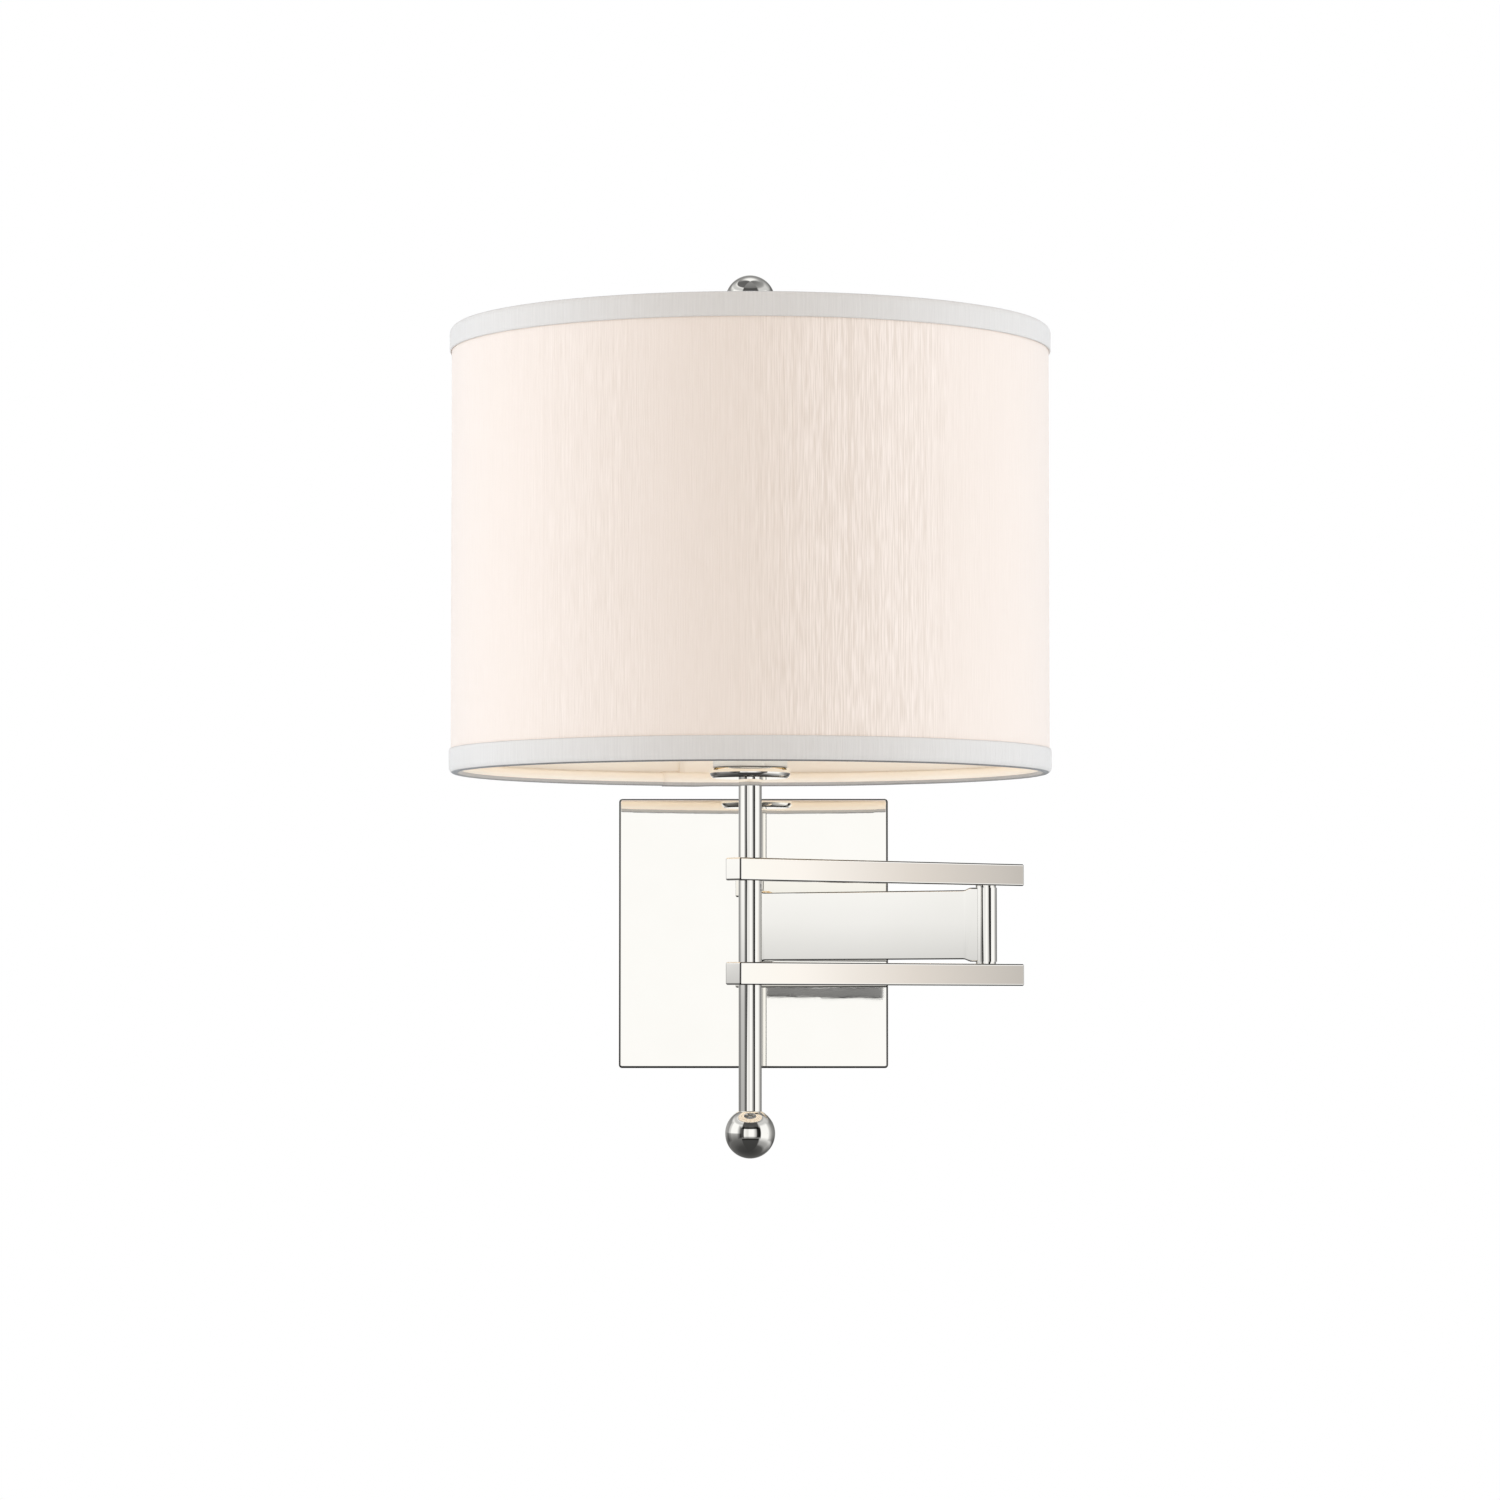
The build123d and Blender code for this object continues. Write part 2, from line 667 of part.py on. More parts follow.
# Socket sleeve: a cream tube on the check ring, slotted at its foot for the
# saddle's arms.
with BuildPart() as socket_sleeve:
    with BuildSketch(level(lamp, ring_top)):
        Circle(sleeve_diameter / 2)
        Circle(sleeve_diameter / 2 - sleeve_wall, mode=Mode.SUBTRACT)
    extrude(amount=sleeve_height)
    with BuildSketch(level(lamp, ring_top)):
        Rectangle(saddle_span, saddle_tab_width + 2 * slip_clearance)
    extrude(amount=saddle_top - ring_top + slip_clearance, mode=Mode.SUBTRACT)
save(socket_sleeve, "socket_sleeve")

# Bulb base: screw cap with a tapered tip.
bulb_tip = insulator_top + contact_height
bulb_seat = bulb_tip + bulb_base_height
with BuildPart() as bulb_base:
    with BuildSketch(level(lamp, bulb_tip)):
        Circle(bulb_tip_diameter / 2)
    with BuildSketch(level(lamp, bulb_tip + bulb_tip_height)):
        Circle(bulb_base_diameter / 2)
    loft()
    with BuildSketch(level(lamp, bulb_tip + bulb_tip_height)):
        Circle(bulb_base_diameter / 2)
    extrude(amount=bulb_base_height - bulb_tip_height)
save(bulb_base, "bulb_base")

# Bulb glass: a neck that swells into a ball, blown to an even wall.
globe_height = bulb_height - bulb_diameter / 2
shoulder = math.radians(bulb_shoulder_angle)


def bulb_outline(inset):
    """Half outline of the bulb, set in by a wall, from its neck to its crown."""
    globe = bulb_diameter / 2 - inset
    neck = bulb_neck_diameter / 2 - inset
    join = (globe * math.cos(shoulder), globe_height - globe * math.sin(shoulder))
    rise = (join[0] - neck) / math.tan(shoulder / 2)
    Line((0, 0), (neck, 0))
    Line((neck, 0), (neck, join[1] - rise))
    TangentArc((neck, join[1] - rise), join, tangent=(0, 1))
    CenterArc((0, globe_height), globe, -bulb_shoulder_angle, 90 + bulb_shoulder_angle)
    Line((0, globe_height + globe), (0, 0))


with BuildPart() as bulb_glass:
    with BuildSketch(upright(lamp, bulb_seat)):
        with BuildLine():
            bulb_outline(0)
        make_face()
        with BuildLine():
            bulb_outline(bulb_wall)
        make_face(mode=Mode.SUBTRACT)
    revolve(axis=Axis((lamp.X, lamp.Y, 0), (0, 0, 1)))
save(bulb_glass, "bulb_glass")

# ------------------------------------------------------------- drum shade

drum_bottom = shade_bottom + trim_wall + glue_gap
drum_height = shade_height - 2 * (trim_wall + glue_gap)
fabric_inner = shade_radius - fabric_wall
liner_outer = fabric_inner - glue_gap
liner_inner = liner_outer - liner_wall
ring_radius = liner_inner - glue_gap - ring_wire / 2
ring_inset = trim_wall + glue_gap + ring_wire / 2
trim_outer = shade_radius + glue_gap + trim_wall
trim_inner = ring_radius - ring_wire / 2 - glue_gap - trim_wall
top_ring_height = shade_top - ring_inset
bottom_ring_height = shade_bottom + ring_inset


def drum(outer, inner):
    """One round layer of the drum."""
    with BuildPart() as layer:
        with BuildSketch(level(lamp, drum_bottom)):
            Circle(outer)
            Circle(inner, mode=Mode.SUBTRACT)
        extrude(amount=drum_height)
    return layer


save(drum(liner_outer, liner_inner), "shade_liner")
save(drum(shade_radius, fabric_inner), "shade_fabric")


def wire_ring(height):
    """A ring of round wire inside the drum's rim."""
    with BuildPart() as ring:
        with BuildSketch(upright(lamp, height)):
            with Locations((ring_radius, 0)):
                Circle(ring_wire / 2)
        revolve(axis=Axis((lamp.X, lamp.Y, 0), (0, 0, 1)))
    return ring


arm_start = Vector(hub_diameter / 2 - spider_wire, 0, harp_top + spider_wire / 2)
arm_end = Vector(ring_radius, 0, top_ring_height)
spider_arm_length = (arm_end - arm_start).length
spider_headings = [90 + turn * 360 / spider_arms for turn in range(spider_arms)]


def spider_arm_plane(heading):
    """The plane across a spider arm's inner end, facing the ring."""
    start = arm_start.rotate(Axis.Z, heading)
    slope = (arm_end - arm_start).rotate(Axis.Z, heading)
    return Plane(origin=(lamp.X + start.X, lamp.Y + start.Y, start.Z), z_dir=slope)


# Shade spider: top ring, three arms and a hub washer, welded together.
with BuildPart() as shade_spider:
    add(wire_ring(top_ring_height).part)
    for heading in spider_headings:
        with BuildSketch(spider_arm_plane(heading)):
            Circle(spider_wire / 2)
        extrude(amount=spider_arm_length)
    with BuildSketch(level(lamp, harp_top)):
        Circle(hub_diameter / 2)
    extrude(amount=hub_wall)
    with BuildSketch(level(lamp, harp_top)):
        Circle(harp_stud_diameter / 2 + slip_clearance)
    extrude(amount=hub_wall, mode=Mode.SUBTRACT)
save(shade_spider, "shade_spider")

save(wire_ring(bottom_ring_height), "bottom_ring")


def trim(rim, inward):
    """A folded band over one rim: inward is -1 at the top and 1 at the bottom."""
    with BuildPart() as band:
        with BuildSketch(upright(lamp, rim)):
            with BuildLine():
                Polyline(
                    (trim_inner, 0),
                    (trim_outer, 0),
                    (trim_outer, inward * trim_height),
                    (trim_outer - trim_wall, inward * trim_height),
                    (trim_outer - trim_wall, inward * trim_wall),
                    (trim_inner + trim_wall, inward * trim_wall),
                    (trim_inner + trim_wall, inward * trim_fold),
                    (trim_inner, inward * trim_fold),
                    close=True,
                )
            make_face()
        revolve(axis=Axis((lamp.X, lamp.Y, 0), (0, 0, 1)))
    return band


# Top trim: notched inside where the spider's arms pass.
with BuildPart() as top_trim:
    add(trim(shade_top, -1).part)
    for heading in spider_headings:
        with BuildSketch(spider_arm_plane(heading)):
            Circle(spider_wire / 2 + slip_clearance)
        extrude(amount=spider_arm_length, mode=Mode.SUBTRACT)
save(top_trim, "top_trim")

save(trim(shade_bottom, 1), "bottom_trim")

# Finial: a neck on the hub and a polished ball, threaded for the harp's stud.
finial_flat = math.sqrt((ball_diameter / 2) ** 2 - (finial_neck_diameter / 2) ** 2)
finial_center = hub_top + finial_neck_height + finial_flat
with BuildPart() as finial:
    with BuildSketch(level(lamp, hub_top)):
        Circle(finial_neck_diameter / 2)
    extrude(amount=finial_neck_height + ball_diameter / 2)
    with BuildSketch(upright(lamp, finial_center)):
        with BuildLine():
            finial_arc = CenterArc((0, 0), ball_diameter / 2, -90, 180)
            Line(finial_arc @ 0, finial_arc @ 1)
        make_face()
    revolve(axis=Axis((lamp.X, lamp.Y, 0), (0, 0, 1)))
    with BuildSketch(level(lamp, hub_top)):
        Circle(harp_stud_diameter / 2 + thread_clearance)
    extrude(amount=finial_bore_depth, mode=Mode.SUBTRACT)
save(finial, "finial")
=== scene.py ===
# %% [markdown]
# # A swing arm wall sconce
# A polished nickel wall light: a square canopy, a flat rear arm, a pair of square front bars
# and a drum shade in slubbed silk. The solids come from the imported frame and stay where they
# are. This lesson gives them their finish, and makes the cloth, the bindings, the card sleeve
# and the bulb's cap again as the soft or fine things that they are.

# %% Load the frame
import json
import math

import bmesh
import bpy
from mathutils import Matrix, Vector, noise

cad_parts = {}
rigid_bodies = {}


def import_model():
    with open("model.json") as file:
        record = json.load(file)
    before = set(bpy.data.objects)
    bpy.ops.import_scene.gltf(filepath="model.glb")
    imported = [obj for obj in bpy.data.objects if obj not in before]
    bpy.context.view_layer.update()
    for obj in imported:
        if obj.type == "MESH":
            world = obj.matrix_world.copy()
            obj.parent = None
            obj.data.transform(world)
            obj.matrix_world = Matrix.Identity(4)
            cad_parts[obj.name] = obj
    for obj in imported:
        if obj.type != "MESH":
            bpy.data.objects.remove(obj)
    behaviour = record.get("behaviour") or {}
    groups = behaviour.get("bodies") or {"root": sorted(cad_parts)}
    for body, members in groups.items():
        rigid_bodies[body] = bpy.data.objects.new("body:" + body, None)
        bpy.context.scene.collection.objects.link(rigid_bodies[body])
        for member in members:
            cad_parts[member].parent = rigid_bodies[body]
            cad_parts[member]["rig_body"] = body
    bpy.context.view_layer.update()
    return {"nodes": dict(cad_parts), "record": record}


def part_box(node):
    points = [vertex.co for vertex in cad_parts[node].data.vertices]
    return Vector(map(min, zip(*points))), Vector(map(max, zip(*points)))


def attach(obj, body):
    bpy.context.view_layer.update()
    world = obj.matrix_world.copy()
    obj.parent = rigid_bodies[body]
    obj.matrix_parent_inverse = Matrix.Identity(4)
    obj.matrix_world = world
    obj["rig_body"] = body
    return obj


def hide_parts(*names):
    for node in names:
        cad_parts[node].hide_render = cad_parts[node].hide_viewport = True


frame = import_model()
scene = bpy.context.scene


# %% [markdown]
# ## Places to measure from
# Everything on the lamp side hangs on one upright axis, so that axis and a few radii are read
# from the nodes once. Reading them, and not typing them again, keeps each new piece on the
# part that carries it.

# %% Places
def span(node):
    """The middle, the half width and the lowest and highest point of a node."""
    low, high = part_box(node)
    return (low + high) / 2, (high.x - low.x) / 2, low.z, high.z


cloth_middle, cloth_radius, cloth_low, cloth_high = span("shade_fabric")
lamp_x, lamp_y = cloth_middle.x, cloth_middle.y
lamp_axis = Vector((lamp_x, lamp_y, 0.0))
body_of_node = {n: o["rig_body"] for n, o in frame["nodes"].items()}
print("lamp axis", round(lamp_x, 4), round(lamp_y, 4), "cloth radius", round(cloth_radius, 4))


# %% [markdown]
# ## Camera
# A long lens from almost straight in front, a little below the arms and looking slightly up,
# so that the shade shows the inside of its lower rim. Cameras and lamps look along their own
# -Z axis, so one function turns that axis towards a target.

# %% Camera
def add_object(name, data):
    """A new object for a mesh, a camera or a lamp, linked into the scene."""
    made = bpy.data.objects.new(name, data)
    scene.collection.objects.link(made)
    return made


def look_from(thing, place, target):
    """Put a camera or a lamp at a place and turn it towards a target."""
    thing.location = place
    thing.rotation_mode = "QUATERNION"
    thing.rotation_quaternion = (Vector(target) - Vector(place)).to_track_quat("-Z", "Y")


camera_place, camera_target = (0.023, -2.709, -0.0366), (0.0, -0.206, 0.0825)
camera_data = bpy.data.cameras.new("studio_camera")
camera_data.lens, camera_data.sensor_width = 129.6, 36.0
camera_data.clip_start, camera_data.clip_end = 0.05, 60.0
camera = add_object("studio_camera", camera_data)
look_from(camera, camera_place, camera_target)
scene.camera = camera
print("camera looks from", camera_place, "at", camera_target)


# %% [markdown]
# ## Small helpers for nodes
# A material is a small graph. A few short functions make a node with its values, join two
# sockets and do one step of arithmetic, so that each material below reads as a list of steps.

# %% Node helpers
def set_inputs(node, **values):
    """Set a node's inputs by their names, with _ in place of each space."""
    for label, value in values.items():
        node.inputs[label.replace("_", " ")].default_value = value


def make_node(tree, kind, **values):
    """A new node. A name with in_ before it sets an input, any other name a property."""
    made = tree.nodes.new(kind)
    for key, value in values.items():
        if key.startswith("in_"):
            set_inputs(made, **{key[3:]: value})
        else:
            setattr(made, key, value)
    return made


def join(tree, start, end):
    """Link an output socket to an input socket."""
    tree.links.new(start, end)


def feed(tree, value, socket):
    """Give an input a plain number, a colour of three numbers, or another node's output."""
    if isinstance(value, tuple):
        socket.default_value = (*value, 1.0)
    elif isinstance(value, (int, float)):
        socket.default_value = value
    else:
        join(tree, value, socket)


def number(tree, operation, *values):
    """One step of arithmetic with sockets or plain numbers."""
    step = make_node(tree, "ShaderNodeMath", operation=operation)
    for value, socket in zip(values, step.inputs):
        feed(tree, value, socket)
    return step.outputs[0]


print("node helpers", [h.__name__ for h in (set_inputs, make_node, join, feed, number)])

# %% [markdown]
# ## The room that the metal mirrors
# Polished metal has hardly a colour of its own: it shows the studio. A good studio gives it
# white walls, with dark gaps between them that draw the thin lines along each rod. Here the
# world is that room, painted by two sets of stops: grey by the compass, and for each of its
# four sides grey by height. A compass list runs from -180 to 180 degrees with 0 at the lamp's
# front, and a height list from -1 straight down to 1 straight up.

# %% Stops of the room
walls_by_degrees = [
    (-180, 1.0), (-170, 1.0), (-160, 0.36), (-138, 0.36), (-119, 0.30), (-112, 0.60),
    (-103, 0.70), (-97, 1.0), (-63, 1.0), (-53, 0.46), (-45, 0.10), (-30, 0.05),
    (-27, 1.0), (-16, 0.82), (-9, 0.78), (-4, 1.0), (15, 1.0), (24, 0.62),
    (31, 0.30), (33, 0.02), (50, 0.01), (53, 1.0), (92, 1.0), (104, 0.58),
    (122, 0.28), (152, 0.16), (164, 0.34), (172, 1.0), (180, 1.0),
]
unbroken_by_height = [
    (-1.0, 1.0), (-0.40, 1.0), (-0.24, 0.0), (0.36, 0.0), (0.60, 1.0), (1.0, 1.0)]
left_share, front_share, right_share, back_share = (1, 0, 0), (0, 1, 0), (0, 0, 1), (0, 0, 0)
shares_by_degrees = [
    (-150, back_share), (-120, left_share), (-42, left_share), (-38, front_share),
    (42, front_share), (50, right_share), (115, right_share), (150, back_share),
]
tones_by_height = {
    "left": [
        (-1.0, 0.045), (-0.80, 0.06), (-0.60, 0.105), (-0.445, 0.13), (-0.24, 0.235),
        (-0.10, 0.34), (-0.02, 0.44), (0.004, 0.58), (0.010, 0.78), (0.019, 0.95),
        (0.03, 1.0), (0.56, 1.0), (0.62, 0.60), (0.70, 0.60), (0.765, 0.85), (0.785, 0.13),
        (1.0, 0.12)],
    "front": [
        (-1.0, 0.045), (-0.50, 0.055), (-0.45, 0.01), (-0.40, 0.01), (-0.37, 0.20),
        (-0.28, 0.45), (-0.20, 1.0), (0.30, 1.0), (0.34, 0.90), (0.37, 0.02),
        (0.44, 0.02), (0.50, 0.10), (0.74, 0.07), (0.80, 0.18), (1.0, 0.25)],
    "right": [
        (-1.0, 0.045), (-0.80, 0.09), (-0.69, 0.30), (-0.55, 0.38), (-0.445, 0.58),
        (-0.25, 1.0), (0.48, 0.97), (0.594, 0.60), (0.694, 0.62), (0.774, 0.32),
        (0.80, 0.30), (1.0, 0.16)],
    "back": [
        (-1.0, 0.05), (-0.60, 0.10), (-0.44, 0.12), (-0.20, 0.45), (-0.05, 1.0), (0.20, 1.0),
        (0.42, 0.50), (0.59, 0.25), (0.75, 0.28), (0.84, 0.40), (0.90, 0.75), (0.96, 1.0),
        (1.0, 0.90)],
}
print("room", len(walls_by_degrees), "stops by compass")


# %% [markdown]
# ### From stops to a painted room
# A colour ramp turns a place from 0 to 1 into a tone. The room mixes the ramps of its four
# sides by their shares at each compass place, and lets the gaps between the walls darken the
# result, but not straight up or down, where the gaps would run together.

# %% Paint the room
def by_degrees(pairs):
    """Stops by compass degrees, as places from 0 to 1."""
    return [(degrees / 360 + 0.5, tone) for degrees, tone in pairs]


def by_height(pairs):
    """Stops by height from -1 to 1, as places from 0 to 1."""
    return [(height / 2 + 0.5, tone) for height, tone in pairs]


def ramp_of(tree, source, pairs):
    """The tones of a list of stops at a place from 0 to 1."""
    node = make_node(tree, "ShaderNodeValToRGB")
    ramp = node.color_ramp
    ramp.interpolation = "LINEAR"
    while len(ramp.elements) > 1:
        ramp.elements.remove(ramp.elements[-1])
    for index, (place, tone) in enumerate(pairs):
        stop = ramp.elements[0] if index == 0 else ramp.elements.new(place)
        stop.position = place
        colour = tone if isinstance(tone, tuple) else (tone, tone, tone)
        stop.color = (*colour, 1.0)
    join(tree, source, node.inputs[0])
    return node.outputs[0]


def axes_of(tree, place):
    """The X, Y and Z outputs of a coordinate."""
    node = make_node(tree, "ShaderNodeSeparateXYZ")
    join(tree, place, node.inputs[0])
    return node.outputs


def vector_step(tree, operation, place, by=(0.0, 0.0, 0.0)):
    """One step of arithmetic on a coordinate."""
    step = make_node(tree, "ShaderNodeVectorMath", operation=operation)
    join(tree, place, step.inputs[0])
    step.inputs[1].default_value = by
    return step.outputs[0]


def weighed_sum(tree, *terms):
    """The sum of several values, each times its own weight."""
    parts = [number(tree, "MULTIPLY", value, weight) for value, weight in terms]
    total = parts[0]
    for part in parts[1:]:
        total = number(tree, "ADD", total, part)
    return total


def room_tones(tree, direction):
    """How bright the painted room is in a direction, with its compass place and height."""
    axes = axes_of(tree, vector_step(tree, "NORMALIZE", direction))
    toward = number(tree, "MULTIPLY", axes["Y"], -1.0)
    compass = number(tree, "ARCTAN2", axes["X"], toward)
    turn = number(tree, "MULTIPLY_ADD", compass, 1 / math.tau, 0.5)
    height = number(tree, "MULTIPLY_ADD", axes["Z"], 0.5, 0.5)
    shares = make_node(tree, "ShaderNodeSeparateColor")
    join(tree, ramp_of(tree, turn, by_degrees(shares_by_degrees)), shares.inputs[0])
    back, sides = 1.0, []
    for side, channel in (("left", "Red"), ("front", "Green"), ("right", "Blue")):
        share = shares.outputs[channel]
        sides.append((ramp_of(tree, height, by_height(tones_by_height[side])), share))
        back = number(tree, "SUBTRACT", back, share)
    sides.append((ramp_of(tree, height, by_height(tones_by_height["back"])), back))
    walls = number(tree, "MAXIMUM", ramp_of(tree, turn, by_degrees(walls_by_degrees)),
                   ramp_of(tree, height, by_height(unbroken_by_height)))
    return number(tree, "MULTIPLY", weighed_sum(tree, *sides), walls), turn, axes["Z"]


print("the room's sides", list(tones_by_height))


# %% [markdown]
# ### Small things on the walls
# A flat mirror shows only a tiny part of the room. The canopy's face looks straight past the
# camera, and a long front face of a bar looks to the right. So the few things that a flat face
# shows are small patches: a dark-edged beam in front of the canopy, placed by the spot of the
# canopy that shows it, and a soft fall from white to grey at the right.

# %% Patches
def colour_mix(tree, factor, first, second, blend="MIX"):
    """Two colours mixed by a factor, each a socket or three numbers."""
    mix = make_node(tree, "ShaderNodeMix", data_type="RGBA", blend_type=blend)
    for value, socket in zip((factor, first, second), (mix.inputs["Factor"], *mix.inputs[6:8])):
        feed(tree, value, socket)
    return mix.outputs[2]


def patch(tree, under, turn, up, degrees, heights, pairs, sideways=False):
    """Paint a patch over the room, in tones that run upwards or sideways."""
    edges = [d / 360 + 0.5 for d in degrees], heights
    across, above = [
        number(tree, "DIVIDE", number(tree, "SUBTRACT", place, start), end - start)
        for place, (start, end) in zip((turn, up), edges)]
    inside = 1.0
    for share in (across, above):
        for test, limit in (("GREATER_THAN", 0.0), ("LESS_THAN", 1.0)):
            inside = number(tree, "MULTIPLY", inside, number(tree, test, share, limit))
    return colour_mix(tree, inside, under, ramp_of(tree, across if sideways else above, pairs))


plate_low, plate_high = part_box("backplate")
canopy_reach = plate_low.y - camera.location.y


def canopy_degrees(x):
    """The compass degrees in the room that the canopy mirrors at a place across its face."""
    return math.degrees(math.atan2(x - camera.location.x, canopy_reach))


def canopy_height(drop):
    """The height in the room that the canopy mirrors, so far below its top edge."""
    return (plate_high.z - drop - camera.location.z) / canopy_reach


beam_degrees = [canopy_degrees(x) for x in (0.0065, 0.0661)]
beam_heights = [canopy_height(drop) for drop in (0.0994, 0.0937)]
beam_tones = [(0.0, 0.04), (0.12, 0.05), (0.18, 0.20), (0.82, 0.22), (0.90, 0.07), (1.0, 0.05)]
fall_degrees, fall_heights = (83.77, 87.47), (-0.002, 0.032)
fall_tones = [(0.0, (1.0, 1.0, 0.97)), (0.22, (1.0, 0.96, 0.93)), (0.55, (0.76, 0.71, 0.67)),
              (1.0, (0.47, 0.45, 0.43))]
print("beam spans", [round(d, 2) for d in beam_degrees], "fall spans", fall_degrees, "degrees")


# %% [markdown]
# ## The world
# One world does three things. Light that falls on the lamp comes from a plain soft fill, a
# ray that a mirror throws back sees the painted room, and the camera sees plain white.

# %% World
def even_light(tree, kind, color, strength=1.0):
    """A background or an emission of one colour or of a pattern."""
    node = make_node(tree, kind, in_Strength=strength)
    feed(tree, color, node.inputs["Color"])
    return node.outputs[0]


def ray_masks(tree):
    """Masks of the rays that the camera sees straight, and of the rays in mirrors."""
    path = make_node(tree, "ShaderNodeLightPath").outputs
    seen = number(tree, "MAXIMUM", path["Is Camera Ray"], path["Is Transmission Ray"])
    return seen, path["Is Glossy Ray"]


def shader_mix(tree, mask, outside, inside):
    """One shader where a mask is 0 and another where it is 1."""
    mix = make_node(tree, "ShaderNodeMixShader")
    for source, socket in zip((mask, outside, inside), mix.inputs):
        join(tree, source, socket)
    return mix.outputs[0]


fill_color, fill_strength = (0.985, 0.995, 1.0), 0.89
room = bpy.data.worlds.new("studio_room")
scene.world = room
room.use_nodes = True
tree = room.node_tree
tree.nodes.clear()
direction = make_node(tree, "ShaderNodeTexCoord").outputs["Generated"]
tones, turn, up = room_tones(tree, direction)
tones = patch(tree, tones, turn, up, beam_degrees, beam_heights, beam_tones)
tones = patch(tree, tones, turn, up, fall_degrees, fall_heights, fall_tones, sideways=True)
mirrored = even_light(tree, "ShaderNodeBackground", tones)
plain_white = even_light(tree, "ShaderNodeBackground", (1.0, 1.0, 1.0))
soft_fill = even_light(tree, "ShaderNodeBackground", fill_color, fill_strength)
seen, in_mirrors = ray_masks(tree)
whole = shader_mix(tree, seen, shader_mix(tree, in_mirrors, soft_fill, mirrored), plain_white)
join(tree, whole, make_node(tree, "ShaderNodeOutputWorld").inputs["Surface"])
print("world", room.name, len(tree.nodes), "nodes")


# %% [markdown]
# ## Soft lamps
# Two large soft boxes, one to each side, make a round shade brighter and cooler at its sides
# than at its middle. Neither shows in the metal: what the metal mirrors is the room above.
# The lamp itself is off, so no lamp shines inside the shade; the faint glow there is painted into
# the lining, the silk and the bulb.

# %% Lamps
soft_box_target, soft_box_size = (0.0, -0.2, 0.15), (1.2, 1.6)


def soft_box(name, place, power, tint):
    """A large lamp that looks at the shade, unseen by the camera and in mirrors."""
    data = bpy.data.lights.new(name, "AREA")
    data.shape = "RECTANGLE"
    data.size, data.size_y = soft_box_size
    data.energy = power
    data.color = tint
    box = add_object(name, data)
    look_from(box, place, soft_box_target)
    box.visible_glossy = False
    box.visible_camera = False


soft_box("left_soft_box", (-2.36, -0.46, 0.35), 32, (0.68, 0.83, 1.0))
soft_box("right_soft_box", (2.33, -0.60, 0.35), 28, (0.66, 0.82, 1.0))


# %% [markdown]
# ## Floor
# The floor is a pale disc well below the lamp, and catches its shadow. The camera sees it
# lifted to white where no shadow falls. In a mirror the floor carries on the tones of the
# room, as they look from the ball, which is the roundest mirror here.

# %% Floor
def mesh_of(bm, name, material, smooth=True):
    """The mesh of a finished bmesh, with one material."""
    mesh = bpy.data.meshes.new(name)
    bm.to_mesh(mesh)
    bm.free()
    for polygon in mesh.polygons:
        polygon.use_smooth = smooth
    mesh.materials.append(material)
    return mesh


floor_height, floor_radius, floor_middle = -0.62, 3.2, -0.2
floor_color, floor_lift = (0.82, 0.82, 0.815, 1.0), (0.42, 0.42, 0.42)
floor_paint = bpy.data.materials.new("floor_paint")
floor_paint.use_nodes = True
tree = floor_paint.node_tree
tree.nodes.clear()
paint = make_node(tree, "ShaderNodeBsdfDiffuse", in_Color=floor_color).outputs[0]
lifted = make_node(tree, "ShaderNodeAddShader")
join(tree, paint, lifted.inputs[0])
join(tree, even_light(tree, "ShaderNodeEmission", floor_lift), lifted.inputs[1])
ball_middle, _, _, _ = span("bottom_ball")
where = make_node(tree, "ShaderNodeTexCoord").outputs["Object"]
from_ball = vector_step(tree, "SUBTRACT", where, (lamp_x, lamp_y, ball_middle.z))
carried = even_light(tree, "ShaderNodeEmission", room_tones(tree, from_ball)[0])
seen, in_mirrors = ray_masks(tree)
whole = shader_mix(tree, in_mirrors, shader_mix(tree, seen, paint, lifted.outputs[0]), carried)
join(tree, whole, make_node(tree, "ShaderNodeOutputMaterial").inputs["Surface"])

bm = bmesh.new()
bmesh.ops.create_circle(bm, cap_ends=True, segments=96, radius=floor_radius)
bmesh.ops.translate(bm, verts=bm.verts, vec=(0.0, floor_middle, floor_height))
studio_floor = add_object("studio_floor", mesh_of(bm, "studio_floor", floor_paint, smooth=False))
print("floor at", floor_height)


# %% [markdown]
# ## Shared effects
# Three effects come back in several finishes, so each is a node group that is built once: the
# threads of a woven cloth, the faint marks of handling on metal, and the soft mottling of
# paper, card and plastic. A group only puts out numbers and colours that change over the
# surface; the shader itself stays in the material.

# %% Group helpers
def new_group(name, inputs, outputs):
    """An empty shader group with named sockets, what it takes and what it gives."""
    group = bpy.data.node_groups.new(name, "ShaderNodeTree")
    for label, kind, start in inputs:
        socket = group.interface.new_socket(label, in_out="INPUT", socket_type=kind)
        if start is not None:
            socket.default_value = start
    for label, kind in outputs:
        group.interface.new_socket(label, in_out="OUTPUT", socket_type=kind)
    taken, given = group.nodes.new("NodeGroupInput"), group.nodes.new("NodeGroupOutput")
    return group, taken.outputs, given.inputs


def cloudy(tree, place, scale, detail, roughness=0.5):
    """Cloudy noise from 0 to 1 at a coordinate."""
    node = make_node(tree, "ShaderNodeTexNoise", in_Detail=detail, in_Roughness=roughness)
    join(tree, place, node.inputs["Vector"])
    feed(tree, scale, node.inputs["Scale"])
    return node.outputs["Fac"]


def spread(tree, value, start, end, least=0.0, most=1.0):
    """A value between a start and an end, spread from a least to a most."""
    node = make_node(tree, "ShaderNodeMapRange", in_From_Min=start, in_From_Max=end)
    for source, label in ((value, "Value"), (least, "To Min"), (most, "To Max")):
        feed(tree, source, node.inputs[label])
    return node.outputs[0]


print("group helpers", [h.__name__ for h in (new_group, cloudy, spread)])

